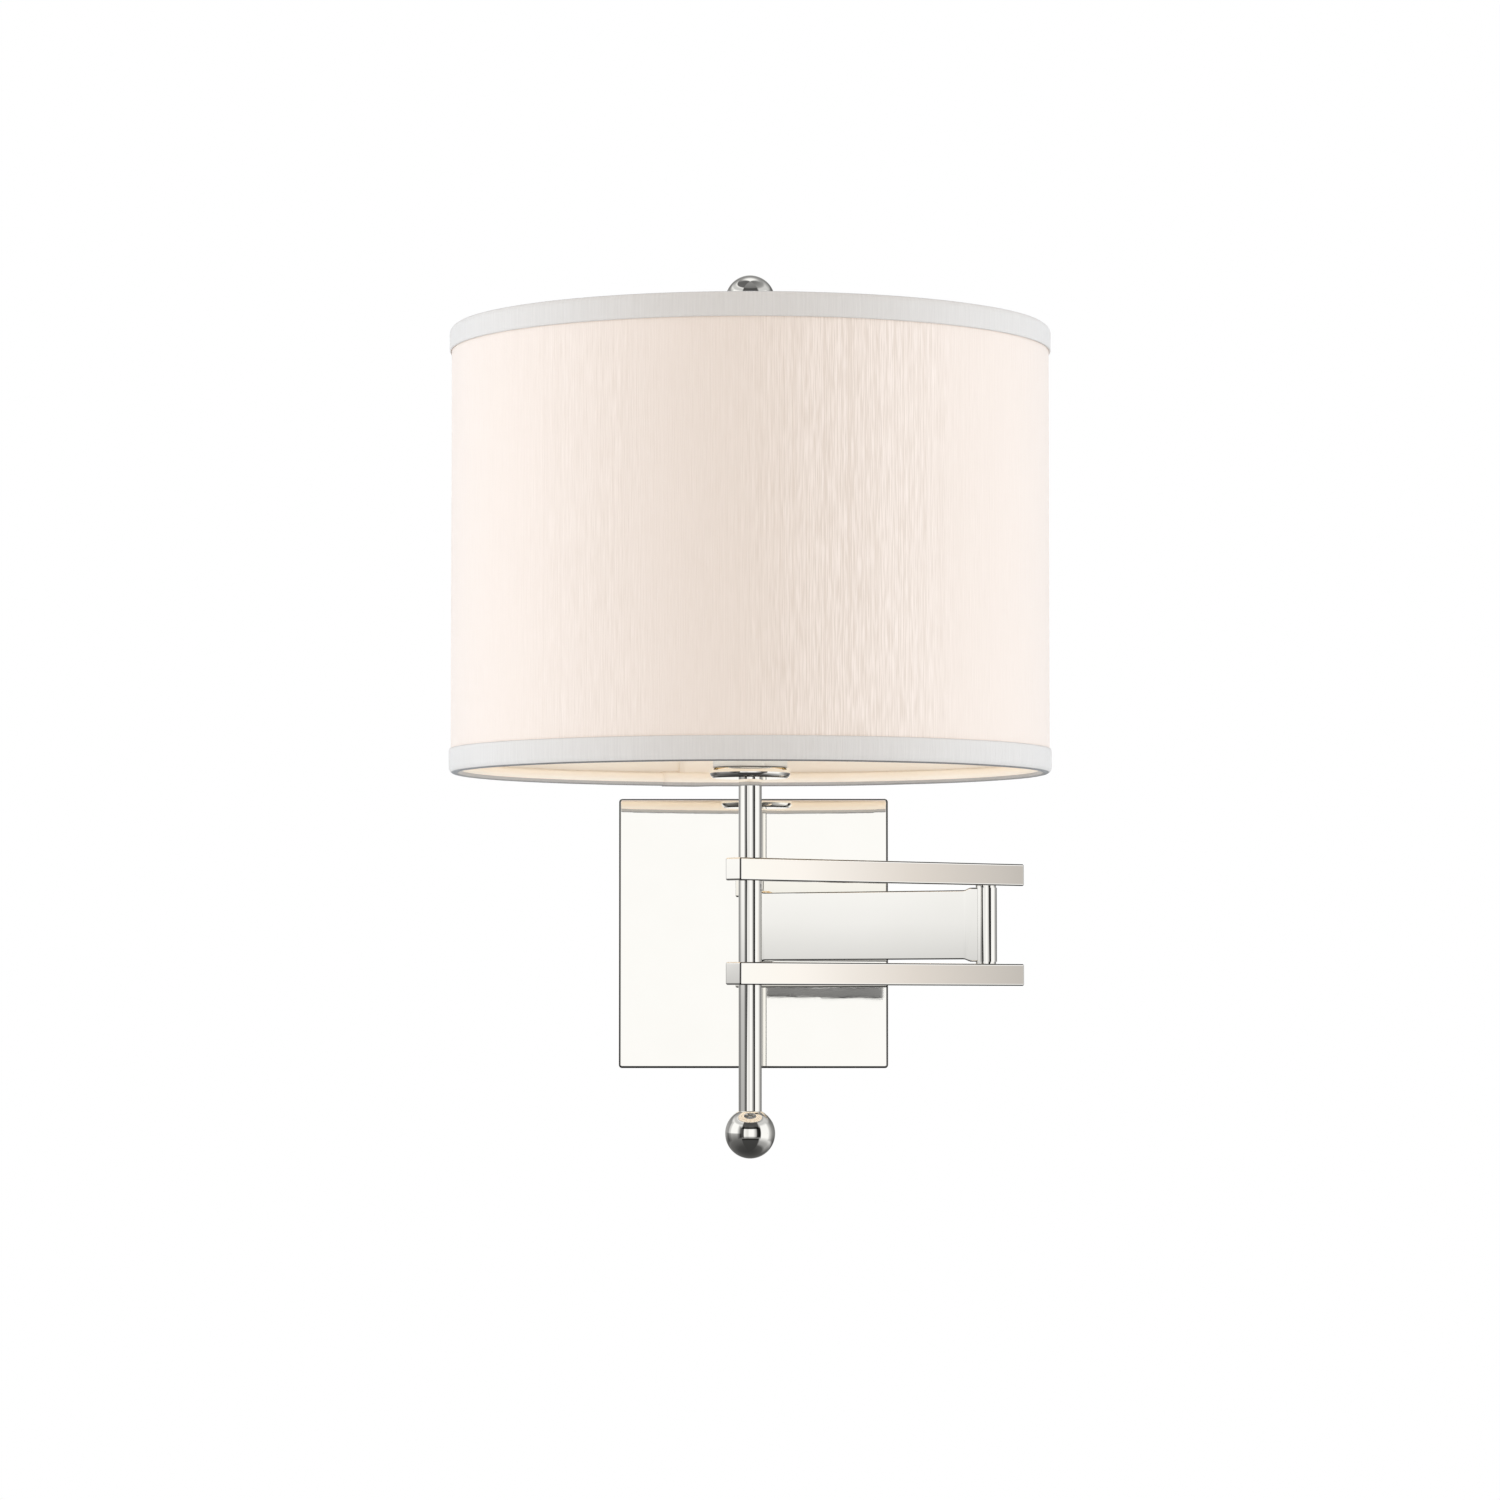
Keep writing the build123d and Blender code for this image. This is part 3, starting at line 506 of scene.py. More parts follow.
# %% [markdown]
# ### Threads
# The cloth is woven from fine upright warp threads and cross weft threads, and slubs are the
# places where a silk thread runs thick. Two sine waves give the threads, and a noise that is
# stretched along the warp gives the slubs: short ones, and long runs that they gather in.
# Coordinates are the cloth's own map in metres, so the pitch of a thread is a real size.

# %% Weave group
weave, taken, given = new_group(
    "threads",
    [
        ("Vector", "NodeSocketVector", None),
        ("Warp per Metre", "NodeSocketFloat", 2600.0),
        ("Weft per Metre", "NodeSocketFloat", 2200.0),
        ("Slub per Metre", "NodeSocketFloat", 420.0),
    ],
    [("Height", "NodeSocketFloat"), ("Slub", "NodeSocketFloat"), ("Tone", "NodeSocketFloat")],
)
warp_sway = 0.0011
short_slubs, long_runs, runs_layer = 62.0, 4.0, 7.3


def rows_place(across, up, rows, layer=0.0):
    """Where a slub noise is read: by threads across, and by so many rows to a metre upwards."""
    place = make_node(weave, "ShaderNodeCombineXYZ")
    for value, socket in zip((across, number(weave, "MULTIPLY", up, rows), layer), place.inputs):
        feed(weave, value, socket)
    return place.outputs[0]


axes = axes_of(weave, taken["Vector"])
map_across, map_up = axes["X"], axes["Y"]
stretched = vector_step(weave, "MULTIPLY", taken["Vector"], (1.0, 0.25, 1.0))
wobble = cloudy(weave, stretched, 60.0, 2.0)
sway = number(weave, "MULTIPLY", number(weave, "SUBTRACT", wobble, 0.5), warp_sway)
warp_place = number(weave, "ADD", map_across, sway)
warp_turns = number(weave, "MULTIPLY", warp_place, taken["Warp per Metre"])
weft_turns = number(weave, "MULTIPLY", map_up, taken["Weft per Metre"])
warp, weft = [number(weave, "SINE", number(weave, "MULTIPLY", turns, math.tau))
              for turns in (warp_turns, weft_turns)]
slub_place = number(weave, "MULTIPLY", warp_place, taken["Slub per Metre"])
slubs = cloudy(weave, rows_place(slub_place, map_up, short_slubs), 1.0, 1.0, 0.6)
runs = cloudy(weave, rows_place(slub_place, map_up, long_runs, runs_layer), 0.8, 2.0)
slub = spread(weave, weighed_sum(weave, (slubs, 0.6), (runs, 0.4)), 0.36, 0.66)
threads = weighed_sum(weave, (warp, 0.25), (number(weave, "MULTIPLY", warp, weft), 0.15))
join(weave, number(weave, "ADD", slub, threads), given["Height"])
join(weave, slub, given["Slub"])
join(weave, cloudy(weave, taken["Vector"], 14.0, 3.0), given["Tone"])
print("group", weave.name, len(weave.nodes), "nodes")


# %% [markdown]
# ### Marks on metal
# Even new plate has a hazy patch and hair scratches from the polishing wheel. A cloudy noise
# lifts the roughness a little, and a noise stretched hard in one direction gives the hairs.

# %% Metal marks group
marks, taken, given = new_group(
    "metal_marks",
    [
        ("Vector", "NodeSocketVector", None),
        ("Least Roughness", "NodeSocketFloat", 0.03),
        ("Most Roughness", "NodeSocketFloat", 0.09),
    ],
    [("Roughness", "NodeSocketFloat"), ("Height", "NodeSocketFloat"), ("Cloud", "NodeSocketFloat")],
)
hair_stretch = (160.0, 160.0, 2400.0)
cloud = cloudy(marks, taken["Vector"], 38.0, 4.0)
hairs = cloudy(marks, vector_step(marks, "MULTIPLY", taken["Vector"], hair_stretch), 1.0, 3.0)
ripple = cloudy(marks, taken["Vector"], 70.0, 1.0)
haze = spread(marks, weighed_sum(marks, (cloud, 0.65), (hairs, 0.35)), 0.38, 0.68,
              taken["Least Roughness"], taken["Most Roughness"])
join(marks, haze, given["Roughness"])
join(marks, weighed_sum(marks, (ripple, 1.0), (hairs, 0.1)), given["Height"])
join(marks, cloud, given["Cloud"])
print("group", marks.name, len(marks.nodes), "nodes")


# %% [markdown]
# ### Mottling
# Card, paper and moulded plastic are never one even colour. Two sizes of noise are mixed
# between a lighter and a darker tone of the same colour.

# %% Mottle group
mottle, taken, given = new_group(
    "mottle",
    [
        ("Vector", "NodeSocketVector", None),
        ("Light Tone", "NodeSocketColor", (1.0, 1.0, 1.0, 1.0)),
        ("Dark Tone", "NodeSocketColor", (0.9, 0.9, 0.9, 1.0)),
        ("Size", "NodeSocketFloat", 40.0),
    ],
    [("Color", "NodeSocketColor"), ("Height", "NodeSocketFloat"), ("Mask", "NodeSocketFloat")],
)
large = cloudy(mottle, taken["Vector"], taken["Size"], 3.0)
small = cloudy(mottle, taken["Vector"], 1400.0, 2.0)
mask = spread(mottle, weighed_sum(mottle, (large, 0.75), (small, 0.25)), 0.35, 0.65)
join(mottle, colour_mix(mottle, mask, taken["Dark Tone"], taken["Light Tone"]), given["Color"])
join(mottle, small, given["Height"])
join(mottle, mask, given["Mask"])
print("group", mottle.name, len(mottle.nodes), "nodes")


# %% [markdown]
# ## Metals
# One function makes every metal of the fitting: a metallic shader whose colour drifts between
# two close tones, with the roughness and the tiny relief of the marks group. Nickel is nearly
# a mirror, zinc plate is greyer and duller, and brass is warm. A threaded part gets the ridges
# of its screw thread as relief, because they are finer than a render can show as shape.

# %% Finish helpers
def new_finish(name, **values):
    """An empty material with one Principled shader, and the tree to build in."""
    material = bpy.data.materials.new(name)
    material.use_nodes = True
    tree = material.node_tree
    tree.nodes.clear()
    shader = make_node(tree, "ShaderNodeBsdfPrincipled")
    set_inputs(shader, **values)
    join(tree, shader.outputs[0], make_node(tree, "ShaderNodeOutputMaterial").inputs["Surface"])
    return material, tree, shader


def map_in_metres(tree):
    """The coordinate of a piece's own map."""
    return make_node(tree, "ShaderNodeUVMap", uv_map="metres").outputs["UV"]


def use_group(tree, group, source, **values):
    """Place a shared effect at a coordinate, with its values."""
    placed = make_node(tree, "ShaderNodeGroup", node_tree=group)
    join(tree, source, placed.inputs["Vector"])
    set_inputs(placed, **values)
    return placed.outputs


def relief(tree, shader, height, strength, distance):
    """A bump from a height, in metres, into the shader's normal."""
    bump = make_node(tree, "ShaderNodeBump", in_Strength=strength, in_Distance=distance)
    join(tree, height, bump.inputs["Height"])
    join(tree, bump.outputs[0], shader.inputs["Normal"])


print("finish helpers", [h.__name__ for h in (new_finish, map_in_metres, use_group, relief)])

# %% Metal finishes
threads_per_metre = 1000.0


def metal(name, dark, light, roughness, bump, thread_axis=None):
    """A metal finish, by its two tones and its least and most roughness."""
    material, tree, shader = new_finish(name, Metallic=1.0)
    source = make_node(tree, "ShaderNodeTexCoord").outputs["Object"]
    least, most = roughness
    marked = use_group(tree, marks, source, Least_Roughness=least, Most_Roughness=most)
    join(tree, colour_mix(tree, marked["Cloud"], dark, light), shader.inputs["Base Color"])
    join(tree, marked["Roughness"], shader.inputs["Roughness"])
    if thread_axis is None:
        relief(tree, shader, marked["Height"], bump, 0.0002)
    else:
        along = axes_of(tree, source)[thread_axis]
        turns = number(tree, "MULTIPLY", along, math.tau * threads_per_metre)
        relief(tree, shader, number(tree, "SINE", turns), 0.9, 0.0005)
    return material


nickel = metal("polished_nickel", (0.965, 0.950, 0.905), (0.995, 0.982, 0.945), (0.006, 0.014),
               0.004)
raw_nickel = metal("raw_nickel", (0.52, 0.51, 0.49), (0.64, 0.63, 0.60), (0.30, 0.46), 0.3)
# A near-black metal for rounded edges: a painted reflection of the room's dark gaps.
painted_rim_reflection = metal("painted_rim_reflection", (0.075, 0.072, 0.068), (0.105, 0.101, 0.095), (0.02, 0.06), 0.02)
zinc = metal("zinc_plate", (0.56, 0.57, 0.58), (0.70, 0.71, 0.71), (0.26, 0.44), 0.3)
thread_tones = (0.52, 0.53, 0.54), (0.66, 0.67, 0.67), (0.26, 0.4), 0.3
zinc_upright = metal("zinc_thread_upright", *thread_tones, "Z")
zinc_level = metal("zinc_thread_level", *thread_tones, "Y")
brass = metal("lamp_brass", (0.70, 0.50, 0.22), (0.83, 0.64, 0.33), (0.16, 0.34), 0.2)
cap_metal = metal("bulb_cap_metal", (0.66, 0.66, 0.65), (0.80, 0.80, 0.79), (0.20, 0.36), 0.2)
print("metals", [m.name for m in (nickel, raw_nickel, painted_rim_reflection, zinc, brass, cap_metal)])


# %% [markdown]
# ## Cloth
# Silk keeps a soft bloom where it turns away from the eye, which is what sheen is for. The
# slubs are a shade lighter and shinier and stand up as bump, and one breadth of the silk has a
# much stronger slub contrast in its colour than the rest. The silk has a faint warm painted
# glow, an emission that stands in for the light that it lets through from its other side. The
# bindings are a plainer, cooler cloth with a finer weave, and a dark line of painted shade
# where they fold round the rim.

# %% Cloth finishes
def along_map(tree, axis, low, high, pairs):
    """Tones along one axis of the piece's own map, between two places in metres."""
    place = axes_of(tree, map_in_metres(tree))[axis]
    return ramp_of(tree, spread(tree, place, low, high), pairs)


def cloth(name, dark, light, pitches, slub_share, sheen, bump, roughness, slubbed=None, fold=None,
          glow=None):
    """A woven finish. It can have a breadth of stronger slub contrast, a painted shade line at a
    fold and a painted glow.
    """
    material, tree, shader = new_finish(name, Specular_IOR_Level=0.30, Sheen_Weight=sheen,
                                        Sheen_Roughness=0.35)
    warp_pitch, weft_pitch, slub_pitch = pitches
    woven = use_group(tree, weave, map_in_metres(tree), Warp_per_Metre=warp_pitch,
                      Weft_per_Metre=weft_pitch, Slub_per_Metre=slub_pitch)
    slub = woven["Slub"]
    if slubbed is not None:
        from_middle = number(tree, "SUBTRACT", slub, 0.5)
        stronger = number(tree, "MULTIPLY", from_middle, along_map(tree, "X", *slubbed))
        slub = number(tree, "ADD", stronger, 0.5)
    factor = weighed_sum(tree, (slub, slub_share), (woven["Tone"], 1.0 - slub_share))
    color = colour_mix(tree, factor, dark, light)
    # A fold gets a painted shade line: its tones darken the colour across the fold.
    if fold is not None:
        color = colour_mix(tree, 1.0, color, along_map(tree, "Y", *fold), "MULTIPLY")
    # A painted glow: an emission in place of light that comes through the cloth.
    if glow is not None:
        set_inputs(shader, Emission_Color=(*glow[0], 1.0), Emission_Strength=glow[1])
    join(tree, color, shader.inputs["Base Color"])
    dull = spread(tree, woven["Slub"], 0.0, 1.0, roughness, roughness - 0.14)
    join(tree, dull, shader.inputs["Roughness"])
    relief(tree, shader, woven["Height"], bump, 0.00018)
    return material


slubbed_breadth = (0.22, 0.56, [
    (0.0, 0.15), (0.20, 0.15), (0.30, 0.70), (0.38, 0.90), (0.45, 0.15), (0.54, 0.50),
    (0.61, 1.5), (0.68, 2.6), (0.76, 2.4), (0.85, 0.40), (0.95, 0.15), (1.0, 0.15)])
# The silk's glow is painted: a faint warm emission for light through the shade.
silk = cloth("shade_silk", (0.705, 0.605, 0.530), (0.840, 0.736, 0.664), (2600, 2200, 2000),
             slub_share=0.85, sheen=0.37, bump=0.40, roughness=0.72, slubbed=slubbed_breadth,
             glow=((1.0, 0.64, 0.36), 0.10))
print("silk", silk.name, len(silk.node_tree.nodes), "nodes")

# %% Binding cloth
fold_inset, fold_radius, fold_reach = 0.0003, 0.0026, 0.004
_, _, trim_low, trim_high = span("bottom_trim")
band_height = trim_high - trim_low - fold_inset
fold_at = band_height - fold_inset - fold_radius + fold_radius * math.pi / 2


def binding_finish(name, painted_fold_shade_tones):
    """The plain cloth of a binding, with its own tones of painted shade across the fold."""
    return cloth(name, (0.672, 0.612, 0.560), (0.754, 0.692, 0.636), (3000, 2800, 1400),
                 slub_share=0.45, sheen=0.50, bump=0.35, roughness=0.78,
                 fold=(fold_at - fold_reach, fold_at + fold_reach, painted_fold_shade_tones))


# Both bindings get a dark line of painted shade across their fold; the bottom one's is much darker,
# and it stays a little darker past the fold.
binding_cloth = binding_finish("binding_cloth", [
    (0.0, 1.0), (0.31, 1.0), (0.37, 0.72), (0.55, 0.70), (0.65, 1.0), (1.0, 1.0)])
low_binding_cloth = binding_finish("low_binding_cloth", [
    (0.0, 1.0), (0.26, 1.0), (0.32, 0.22), (0.60, 0.25), (0.72, 0.80), (1.0, 0.80)])
print("bindings fold", round(fold_at, 4), "m from their outer edge")


# %% [markdown]
# ## Lining, card, plastic and glass
# These are smooth, and only mottled between two close tones. The lining is a pale plastic
# sheet with a faint warm painted glow, as the silk has, for light that comes through the shade.
# The bulb is frosted glass that lets a quarter of the light through, and has a faint painted
# glow in its own tones, though it isn't lit.

# %% Smooth finishes
def mottled(name, light, dark, size=40.0, bump=0.1, depth=0.0002, **values):
    """A smooth finish mottled between two close tones, with a fine grain."""
    material, tree, shader = new_finish(name, **values)
    source = make_node(tree, "ShaderNodeTexCoord").outputs["Object"]
    tones = use_group(tree, mottle, source, Light_Tone=(*light, 1.0), Dark_Tone=(*dark, 1.0),
                      Size=size)
    join(tree, tones["Color"], shader.inputs["Base Color"])
    relief(tree, shader, tones["Height"], bump, depth)
    return material, tree, shader, tones


def moulded(name, light, dark, roughness, size=40.0):
    """Card, paint or moulded plastic, a little duller in its darker tone."""
    material, tree, shader, tones = mottled(name, light, dark, size, Specular_IOR_Level=0.4)
    dull = spread(tree, tones["Mask"], 0.0, 1.0, roughness + 0.08, roughness - 0.04)
    join(tree, dull, shader.inputs["Roughness"])
    return material


# The lining's emission is a painted glow: a faint warm light in place of light through the shade.
lining, _, _, _ = mottled(
    "shade_lining", (0.985, 0.905, 0.800), (0.965, 0.870, 0.755), 18.0, 0.12, 0.0001,
    Emission_Color=(1.0, 0.78, 0.56, 1.0), Emission_Strength=0.10, Roughness=0.48,
    Specular_IOR_Level=0.35)
card_sleeve = moulded("cream_card", (0.960, 0.890, 0.790), (0.930, 0.850, 0.740), 0.58)
black_moulding = moulded("black_moulding", (0.060, 0.055, 0.050), (0.030, 0.028, 0.026), 0.38, 60.0)
green_paint = moulded("ground_green", (0.050, 0.300, 0.110), (0.030, 0.220, 0.080), 0.30, 90.0)
# The bulb's emission is a painted glow in its own mottled tones; the bulb itself is off.
frosted, tree, shader, tones = mottled(
    "frosted_glass", (0.985, 0.960, 0.920), (0.960, 0.930, 0.880), depth=0.0001,
    Emission_Strength=0.06, Roughness=0.42, Transmission_Weight=0.25)
join(tree, tones["Color"], shader.inputs["Emission Color"])
print("finishes", len(bpy.data.materials))


# %% [markdown]
# ## Hard parts from the frame
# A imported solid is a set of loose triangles. Their places are exact, but a mirror finish would
# show every facet. So each metal part is shown by a merged copy: its doubles are joined, it is
# shaded smooth up to a crease angle, and its flat faces keep flat normals by their weight.

# %% Merged copies
crease_degrees, double_distance, sliver_length = 26.0, 2e-6, 1e-7


def merged_copy(node, material):
    """Show a node by a smooth copy of its own mesh, riding on the same body."""
    mesh = frame["nodes"][node].data.copy()
    mesh.name = node + "_surface"
    bm = bmesh.new()
    bm.from_mesh(mesh)
    bmesh.ops.remove_doubles(bm, verts=bm.verts, dist=double_distance)
    bmesh.ops.dissolve_degenerate(bm, edges=bm.edges, dist=sliver_length)
    bm.to_mesh(mesh)
    bm.free()
    mesh.materials.clear()
    mesh.materials.append(material)
    for polygon in mesh.polygons:
        polygon.use_smooth = True
    mesh.set_sharp_from_angle(angle=math.radians(crease_degrees))
    piece = add_object(node + "_surface", mesh)
    weighted = piece.modifiers.new("face_weight", "WEIGHTED_NORMAL")
    weighted.keep_sharp = True
    weighted.mode = "FACE_AREA"
    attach(piece, body_of_node[node])
    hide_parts(node)


hard_parts = {
    nickel: [
        "backplate", "wall_yoke", "wall_pivot_screws", "wall_pivot_washers", "rear_arm_plate",
        "wall_barrel", "elbow_barrel", "upper_front_bar", "lower_front_bar", "elbow_screws",
        "elbow_washers", "upper_stem", "middle_stem", "lower_stem", "bottom_ball",
        "check_ring", "finial",
    ],
    zinc: [
        "mounting_strap", "canopy_set_screws", "yoke_nut", "wall_pivot_pin", "elbow_pin",
        "socket_locknut", "shade_spider", "bottom_ring",
    ],
    zinc_upright: ["stem_tube"],
    zinc_level: ["yoke_nipple"],
    brass: [
        "harp_saddle", "harp_ferrules", "harp", "socket_cap", "socket_screw_shell",
        "center_contact",
    ],
    black_moulding: ["socket_insulator"],
    green_paint: ["ground_screw"],
    frosted: ["bulb_glass"],
}
for material, names in hard_parts.items():
    for node in names:
        merged_copy(node, material)
    print(material.name, len(names), "parts")


# %% [markdown]
# ### Painted dark rim lines
# The small rounds between the flat faces, and two bands on the check ring's rounded rim, get
# a near-black metal. It is a painted reflection: it stands in for the dark gaps of a room that
# polished rounds mirror as thin dark lines, so each flat piece looks as if its edge were drawn
# with a fine pen. The rounds are the faces that lean away from a wide face. How far they lean
# is the dot product of the two directions, 1 for a wide face and 0 for a face across it, and
# each piece has its own two limits, because its rounds differ in width.

# %% Painted dark rim lines
def heading_across(start, end):
    """The level direction across the line between two upright axes."""
    along = Vector((end[0] - start[0], end[1] - start[1], 0.0)).normalized()
    return Vector((-along.y, along.x, 0.0))


pivots = {j["name"]: j["pos_m"] for j in frame["record"]["behaviour"]["joints"]}
front_across = heading_across(lamp_axis, pivots["elbow_fold"])
rear_across = heading_across(pivots["wall_swing"], pivots["elbow_fold"])
rims = {
    "backplate": (Vector((0, 1, 0)), 0.42, 0.91),
    "upper_front_bar": (front_across, 0.42, 0.91),
    "lower_front_bar": (front_across, 0.42, 0.91),
    "rear_arm_plate": (rear_across, 0.30, 0.94),
    "check_ring": (Vector((0, 0, 1)), 0.80, 0.97),
}
for node, (wide_face, least, most) in rims.items():
    surface = bpy.data.objects[node + "_surface"].data
    surface.materials.append(painted_rim_reflection)
    rounds = [p for p in surface.polygons if least < abs(p.normal.dot(wide_face)) < most]
    # These rounds get the near-black metal, a painted reflection line.
    for polygon in rounds:
        polygon.material_index = 1
    print(node, "rim faces", len(rounds))

# %% [markdown]
# ### Inside of the canopy
# The canopy is a pressed tray, and its inside isn't polished at all, because nobody sees it.
# Its floor faces the wall, and the inner faces of its sides look towards its middle.

# %% Inside of the tray
tray = bpy.data.objects["backplate_surface"].data
tray.materials.append(raw_nickel)
tray_middle = (plate_low + plate_high) / 2
for polygon in tray.polygons:
    spoke = polygon.center - tray_middle
    turned_in = polygon.normal.x * spoke.x + polygon.normal.z * spoke.z < 0
    if polygon.normal.y > 0.5 or (polygon.normal.y > -0.5 and turned_in):
        polygon.material_index = 2
print("tray inside faces", sum(p.material_index == 2 for p in tray.polygons))


# %% [markdown]
# ## Strips that go round the lamp
# The lining, the cloth, the bindings and the card sleeve are all one thing: a strip wound
# once round the lamp's axis, whose end laps over its start. A short profile is spun a little
# more than a full turn, the last part is lifted over the first, and the wall gets its
# thickness at the end. The climb starts 1.2 laps before the full turn and is 0.9 laps long, so
# it is over when the strip comes round to its own start. The strip carries a map in metres,
# so that threads have a real size.

# %% Spin and lift
def spun(profile, heading, sweep, steps, closed=False):
    """Spin a profile of (radius, height) points round the lamp's axis."""
    bm = bmesh.new()
    east, north = math.cos(heading), math.sin(heading)
    line = [bm.verts.new((lamp_x + r * east, lamp_y + r * north, z)) for r, z in profile]
    edges = [bm.edges.new(pair) for pair in zip(line, line[1:])]
    bmesh.ops.spin(bm, geom=line + edges, cent=lamp_axis, axis=(0, 0, 1), angle=sweep,
                   steps=steps, use_merge=closed)
    return bm


def outward(place):
    """The level direction from the lamp's axis to a place."""
    return Vector((place.x - lamp_x, place.y - lamp_y, 0.0)).normalized()


climb_start, climb_length = 1.2, 0.9
sway_pitch = 28, 28, 11


def lap_share(turned, lap_turn):
    """How far the end of a strip has climbed onto its start, from 0 to 1."""
    climbed = (turned - (math.tau - climb_start * lap_turn)) / (climb_length * lap_turn)
    share = min(max(climbed, 0.0), 1.0)
    return share * share * (3 - 2 * share)


def sway_at(place):
    """Slow waves over a cloth, from -1 to 1."""
    return noise.noise(Vector([value * pitch for value, pitch in zip(place, sway_pitch)]))


print("strip helpers", [h.__name__ for h in (spun, outward, lap_share, sway_at)])

# %% Lapped strip
def lapped_strip(name, profile, seam, lap, lift, wall, steps, material, ripple=0.0, middle=None):
    """Spin a profile, lap its end over its start, and map it. A fold lifts from its middle."""
    radius = max(r for r, _ in profile)
    sweep, lap_turn = math.tau + lap / radius, lap / radius
    bm = spun(profile, seam, sweep, steps)
    bm.verts.index_update()
    bm.verts.ensure_lookup_table()
    ups = [0.0]
    for (r0, z0), (r1, z1) in zip(profile, profile[1:]):
        ups.append(ups[-1] + math.hypot(r1 - r0, z1 - z0))
    place = {}
    for vert in bm.verts:
        step, up = divmod(vert.index, len(profile))
        turned = sweep * step / steps
        place[vert.index] = (turned * radius, ups[up])
        away = outward(vert.co)
        if middle is not None:
            r, z = profile[up]
            away = (away * (r - middle[0]) + Vector((0, 0, z - middle[1]))).normalized()
        vert.co += away * (lift * lap_share(turned, lap_turn) + ripple * sway_at(vert.co))
    layer = bm.loops.layers.uv.new("metres")
    for face in bm.faces:
        for loop in face.loops:
            loop[layer].uv = place[loop.vert.index]
    bmesh.ops.recalc_face_normals(bm, faces=bm.faces)
    first = bm.faces[:][0]
    if first.normal.dot(outward(first.calc_center_median())) < 0:
        bmesh.ops.reverse_faces(bm, faces=bm.faces)
    strip = add_object(name, mesh_of(bm, name, material))
    thick = strip.modifiers.new("wall", "SOLIDIFY")
    thick.thickness = wall
    thick.offset = 0.0
    flat = sweep * radius, ups[-1]
    print(name, "flat", [round(side, 4) for side in flat], "faces", len(strip.data.polygons))
    return strip, flat


def even_line(radius, low, high, count):
    """Points up a straight wall, evenly spaced."""
    return [(radius, low + (high - low) * k / (count - 1)) for k in range(count)]


# %% [markdown]
# ## Lining and shade cloth
# A drum shade is cut from a plastic sheet with the silk bonded to it, and rolled so that both
# ends meet at the back. The silk gets a very slight ripple, far below a millimetre, because
# even a tight cloth catches the light unevenly. Each sheet's middle lies a little inside the
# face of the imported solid, so that its wall and its lap stay inside that solid's outline.

# %% Shade
seam_heading = math.radians(101.0)
lining_inset, cloth_inset = 0.0004, 0.0003
_, liner_radius, liner_low, liner_high = span("shade_liner")
liner_piece, _ = lapped_strip(
    "shade_lining_sheet", even_line(liner_radius - lining_inset, liner_low, liner_high, 12),
    seam_heading, lap=0.010, lift=-0.0008, wall=0.0007, steps=200, material=lining)
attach(liner_piece, "front_arm")
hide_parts("shade_liner")

cloth_piece, cloth_flat = lapped_strip(
    "shade_cloth", even_line(cloth_radius - cloth_inset, cloth_low, cloth_high, 44),
    seam_heading, lap=0.012, lift=0.0004, wall=0.00035, steps=280, material=silk, ripple=0.00007)
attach(cloth_piece, "front_arm")
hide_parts("shade_fabric")


# %% [markdown]
# ## Bindings
# Each rim is finished with a folded strip of plain cloth. It comes down the outside, goes
# round the wire ring and turns back a little way up the inside. The profile is that fold,
# rounded where it goes round the ring and slightly full at its edges, as glued cloth is. The
# turned-back part is given the lining's finish, paler and warmer than the binding cloth and
# with the lining's painted glow, which paints in the warm light inside the shade.

# %% Bindings
def fold_profile(node, rim_at_bottom):
    """The folded strip's middle line as (radius, height), from the outer edge inwards."""
    low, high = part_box(node)
    outer = (high.x - low.x) / 2 - fold_inset
    centre, inner = outer - fold_radius, outer - 2 * fold_radius
    rim, way = (low.z, 1.0) if rim_at_bottom else (high.z, -1.0)
    tall = high.z - low.z - fold_inset
    outside = [(outer - 0.00030, tall), (outer - 0.00005, tall - 0.0007)]
    outside += [(outer, tall - 0.0016 - 0.0011 * k) for k in range(6)]
    bend = []
    for k in range(9):
        angle = math.pi * k / 8
        bend.append((centre + fold_radius * math.cos(angle),
                     fold_inset + fold_radius - fold_radius * math.sin(angle)))
    inside = [(inner, fold_radius + 0.0012), (inner + 0.0012, 0.0050), (centre, 0.0062)]
    points = [(r, rim + way * up) for r, up in outside + bend + inside]
    return points, (centre, rim + way * fold_radius), way


binding_seam = seam_heading + 0.05
inside_start, inside_height = -0.0006, 0.006
for node, name, rim_at_bottom, binding in (
    ("bottom_trim", "bottom_binding", True, low_binding_cloth),
    ("top_trim", "top_binding", False, binding_cloth),
):
    points, fold_middle, way = fold_profile(node, rim_at_bottom)
    band, band_flat = lapped_strip(
        name, points, binding_seam, lap=0.012, lift=0.0003, wall=0.0006, steps=240,
        material=binding, ripple=0.00006, middle=fold_middle)
    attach(band, "front_arm")
    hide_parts(node)
    # The turned-back part takes the lining's finish: painted warm light inside the shade.
    band.data.materials.append(lining)
    for polygon in band.data.polygons:
        turned_in = (polygon.center.xy - lamp_axis.xy).length < fold_middle[0]
        up = (polygon.center.z - fold_middle[1]) * way
        if turned_in and inside_start < up < inside_height:
            polygon.material_index = 1


# %% [markdown]
# ## Card sleeve
# The socket hides in a tube of cream card. Such a tube is rolled from a sheet, and its lap
# shows as one thin upright line, here at the front.

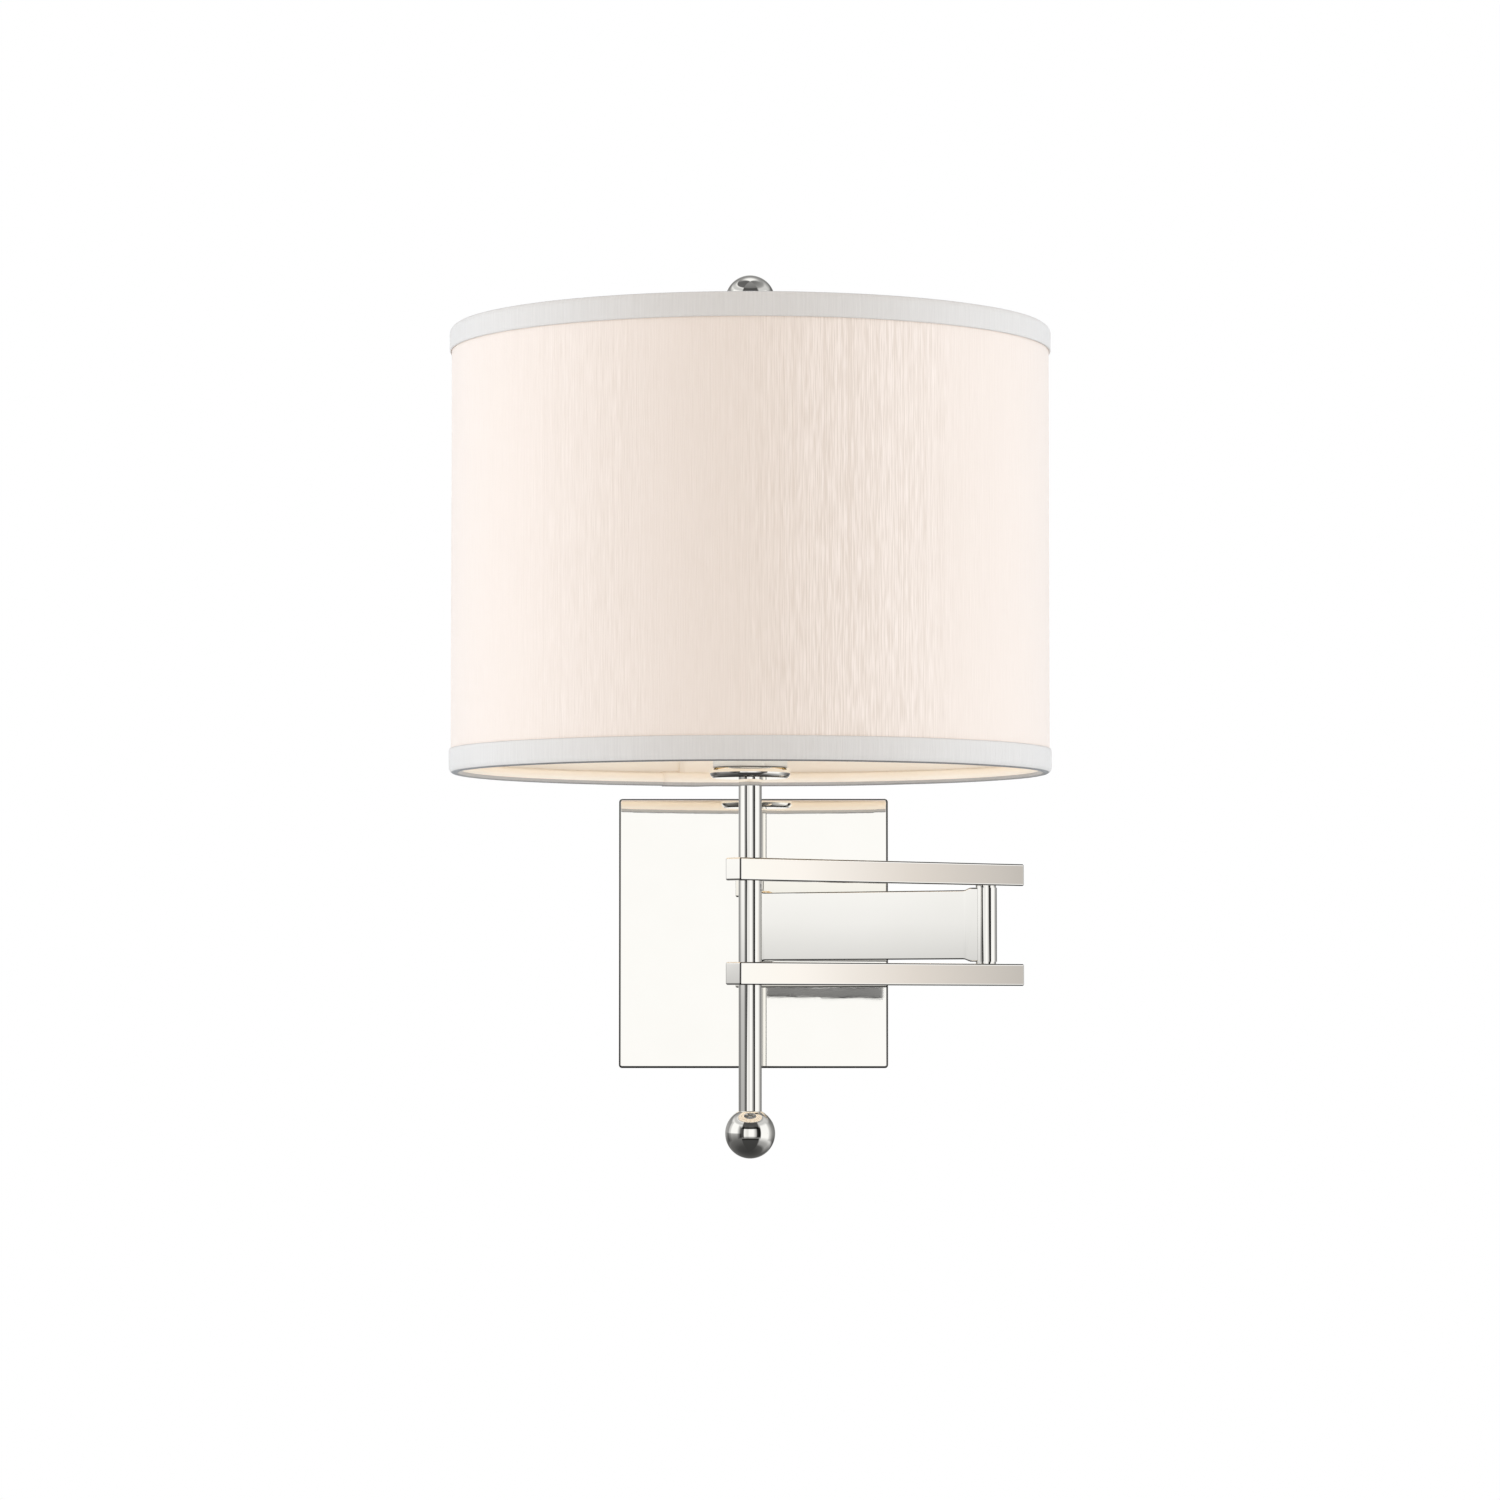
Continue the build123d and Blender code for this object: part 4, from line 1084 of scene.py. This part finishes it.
# %% Sleeve
sleeve_seam, sleeve_inset = math.radians(-84.0), 0.0008
_, sleeve_radius, sleeve_low, sleeve_high = span("socket_sleeve")
sleeve_piece, _ = lapped_strip(
    "sleeve_card", even_line(sleeve_radius - sleeve_inset, sleeve_low, sleeve_high, 8),
    sleeve_seam, lap=0.005, lift=0.0004, wall=0.0007, steps=96, material=card_sleeve)
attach(sleeve_piece, "front_arm")
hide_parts("socket_sleeve")


# %% [markdown]
# ## Bulb cap
# A screw bulb's cap is thin metal rolled into a round thread. The thread is drawn as a waving
# profile and spun once round the axis, with the solder tip below it. Its rings are level and
# not a true screw, which hardly shows at this size and keeps the spin simple.

# %% Bulb cap
_, cap_radius, cap_low, cap_high = span("bulb_base")
thread_low, thread_high = cap_low + 0.006, cap_high - 0.004
thread_turns, thread_depth, thread_points = 5, 0.0006, 40
cap_steps, cap_crease_degrees = 64, 50
profile = [(0.0, cap_low), (0.0035, cap_low), (0.0047, cap_low + 0.0008),
           (0.0050, cap_low + 0.0022), (0.0085, cap_low + 0.0042),
           (cap_radius - 0.0012, thread_low - 0.0006)]
for k in range(thread_points + 1):
    wave = math.cos(math.tau * thread_turns * k / thread_points)
    profile.append((cap_radius - thread_depth * (1 + wave),
                    thread_low + (thread_high - thread_low) * k / thread_points))
profile += [(cap_radius - 0.0010, cap_high - 0.0030), (cap_radius - 0.0004, cap_high - 0.0006),
            (cap_radius - 0.0008, cap_high), (0.0, cap_high)]
bm = spun(profile, 0.0, math.tau, cap_steps, closed=True)
bmesh.ops.remove_doubles(bm, verts=bm.verts, dist=double_distance / 2)
bmesh.ops.recalc_face_normals(bm, faces=bm.faces)
mesh = mesh_of(bm, "bulb_cap", cap_metal)
mesh.set_sharp_from_angle(angle=math.radians(cap_crease_degrees))
bulb_cap = add_object("bulb_cap", mesh)
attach(bulb_cap, "front_arm")
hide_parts("bulb_base")
print("bulb cap faces", len(mesh.polygons))


# %% [markdown]
# ## Output settings
# The plain Standard view shows colours as they are written.

# %% Finish
scene.view_settings.view_transform = "Standard"
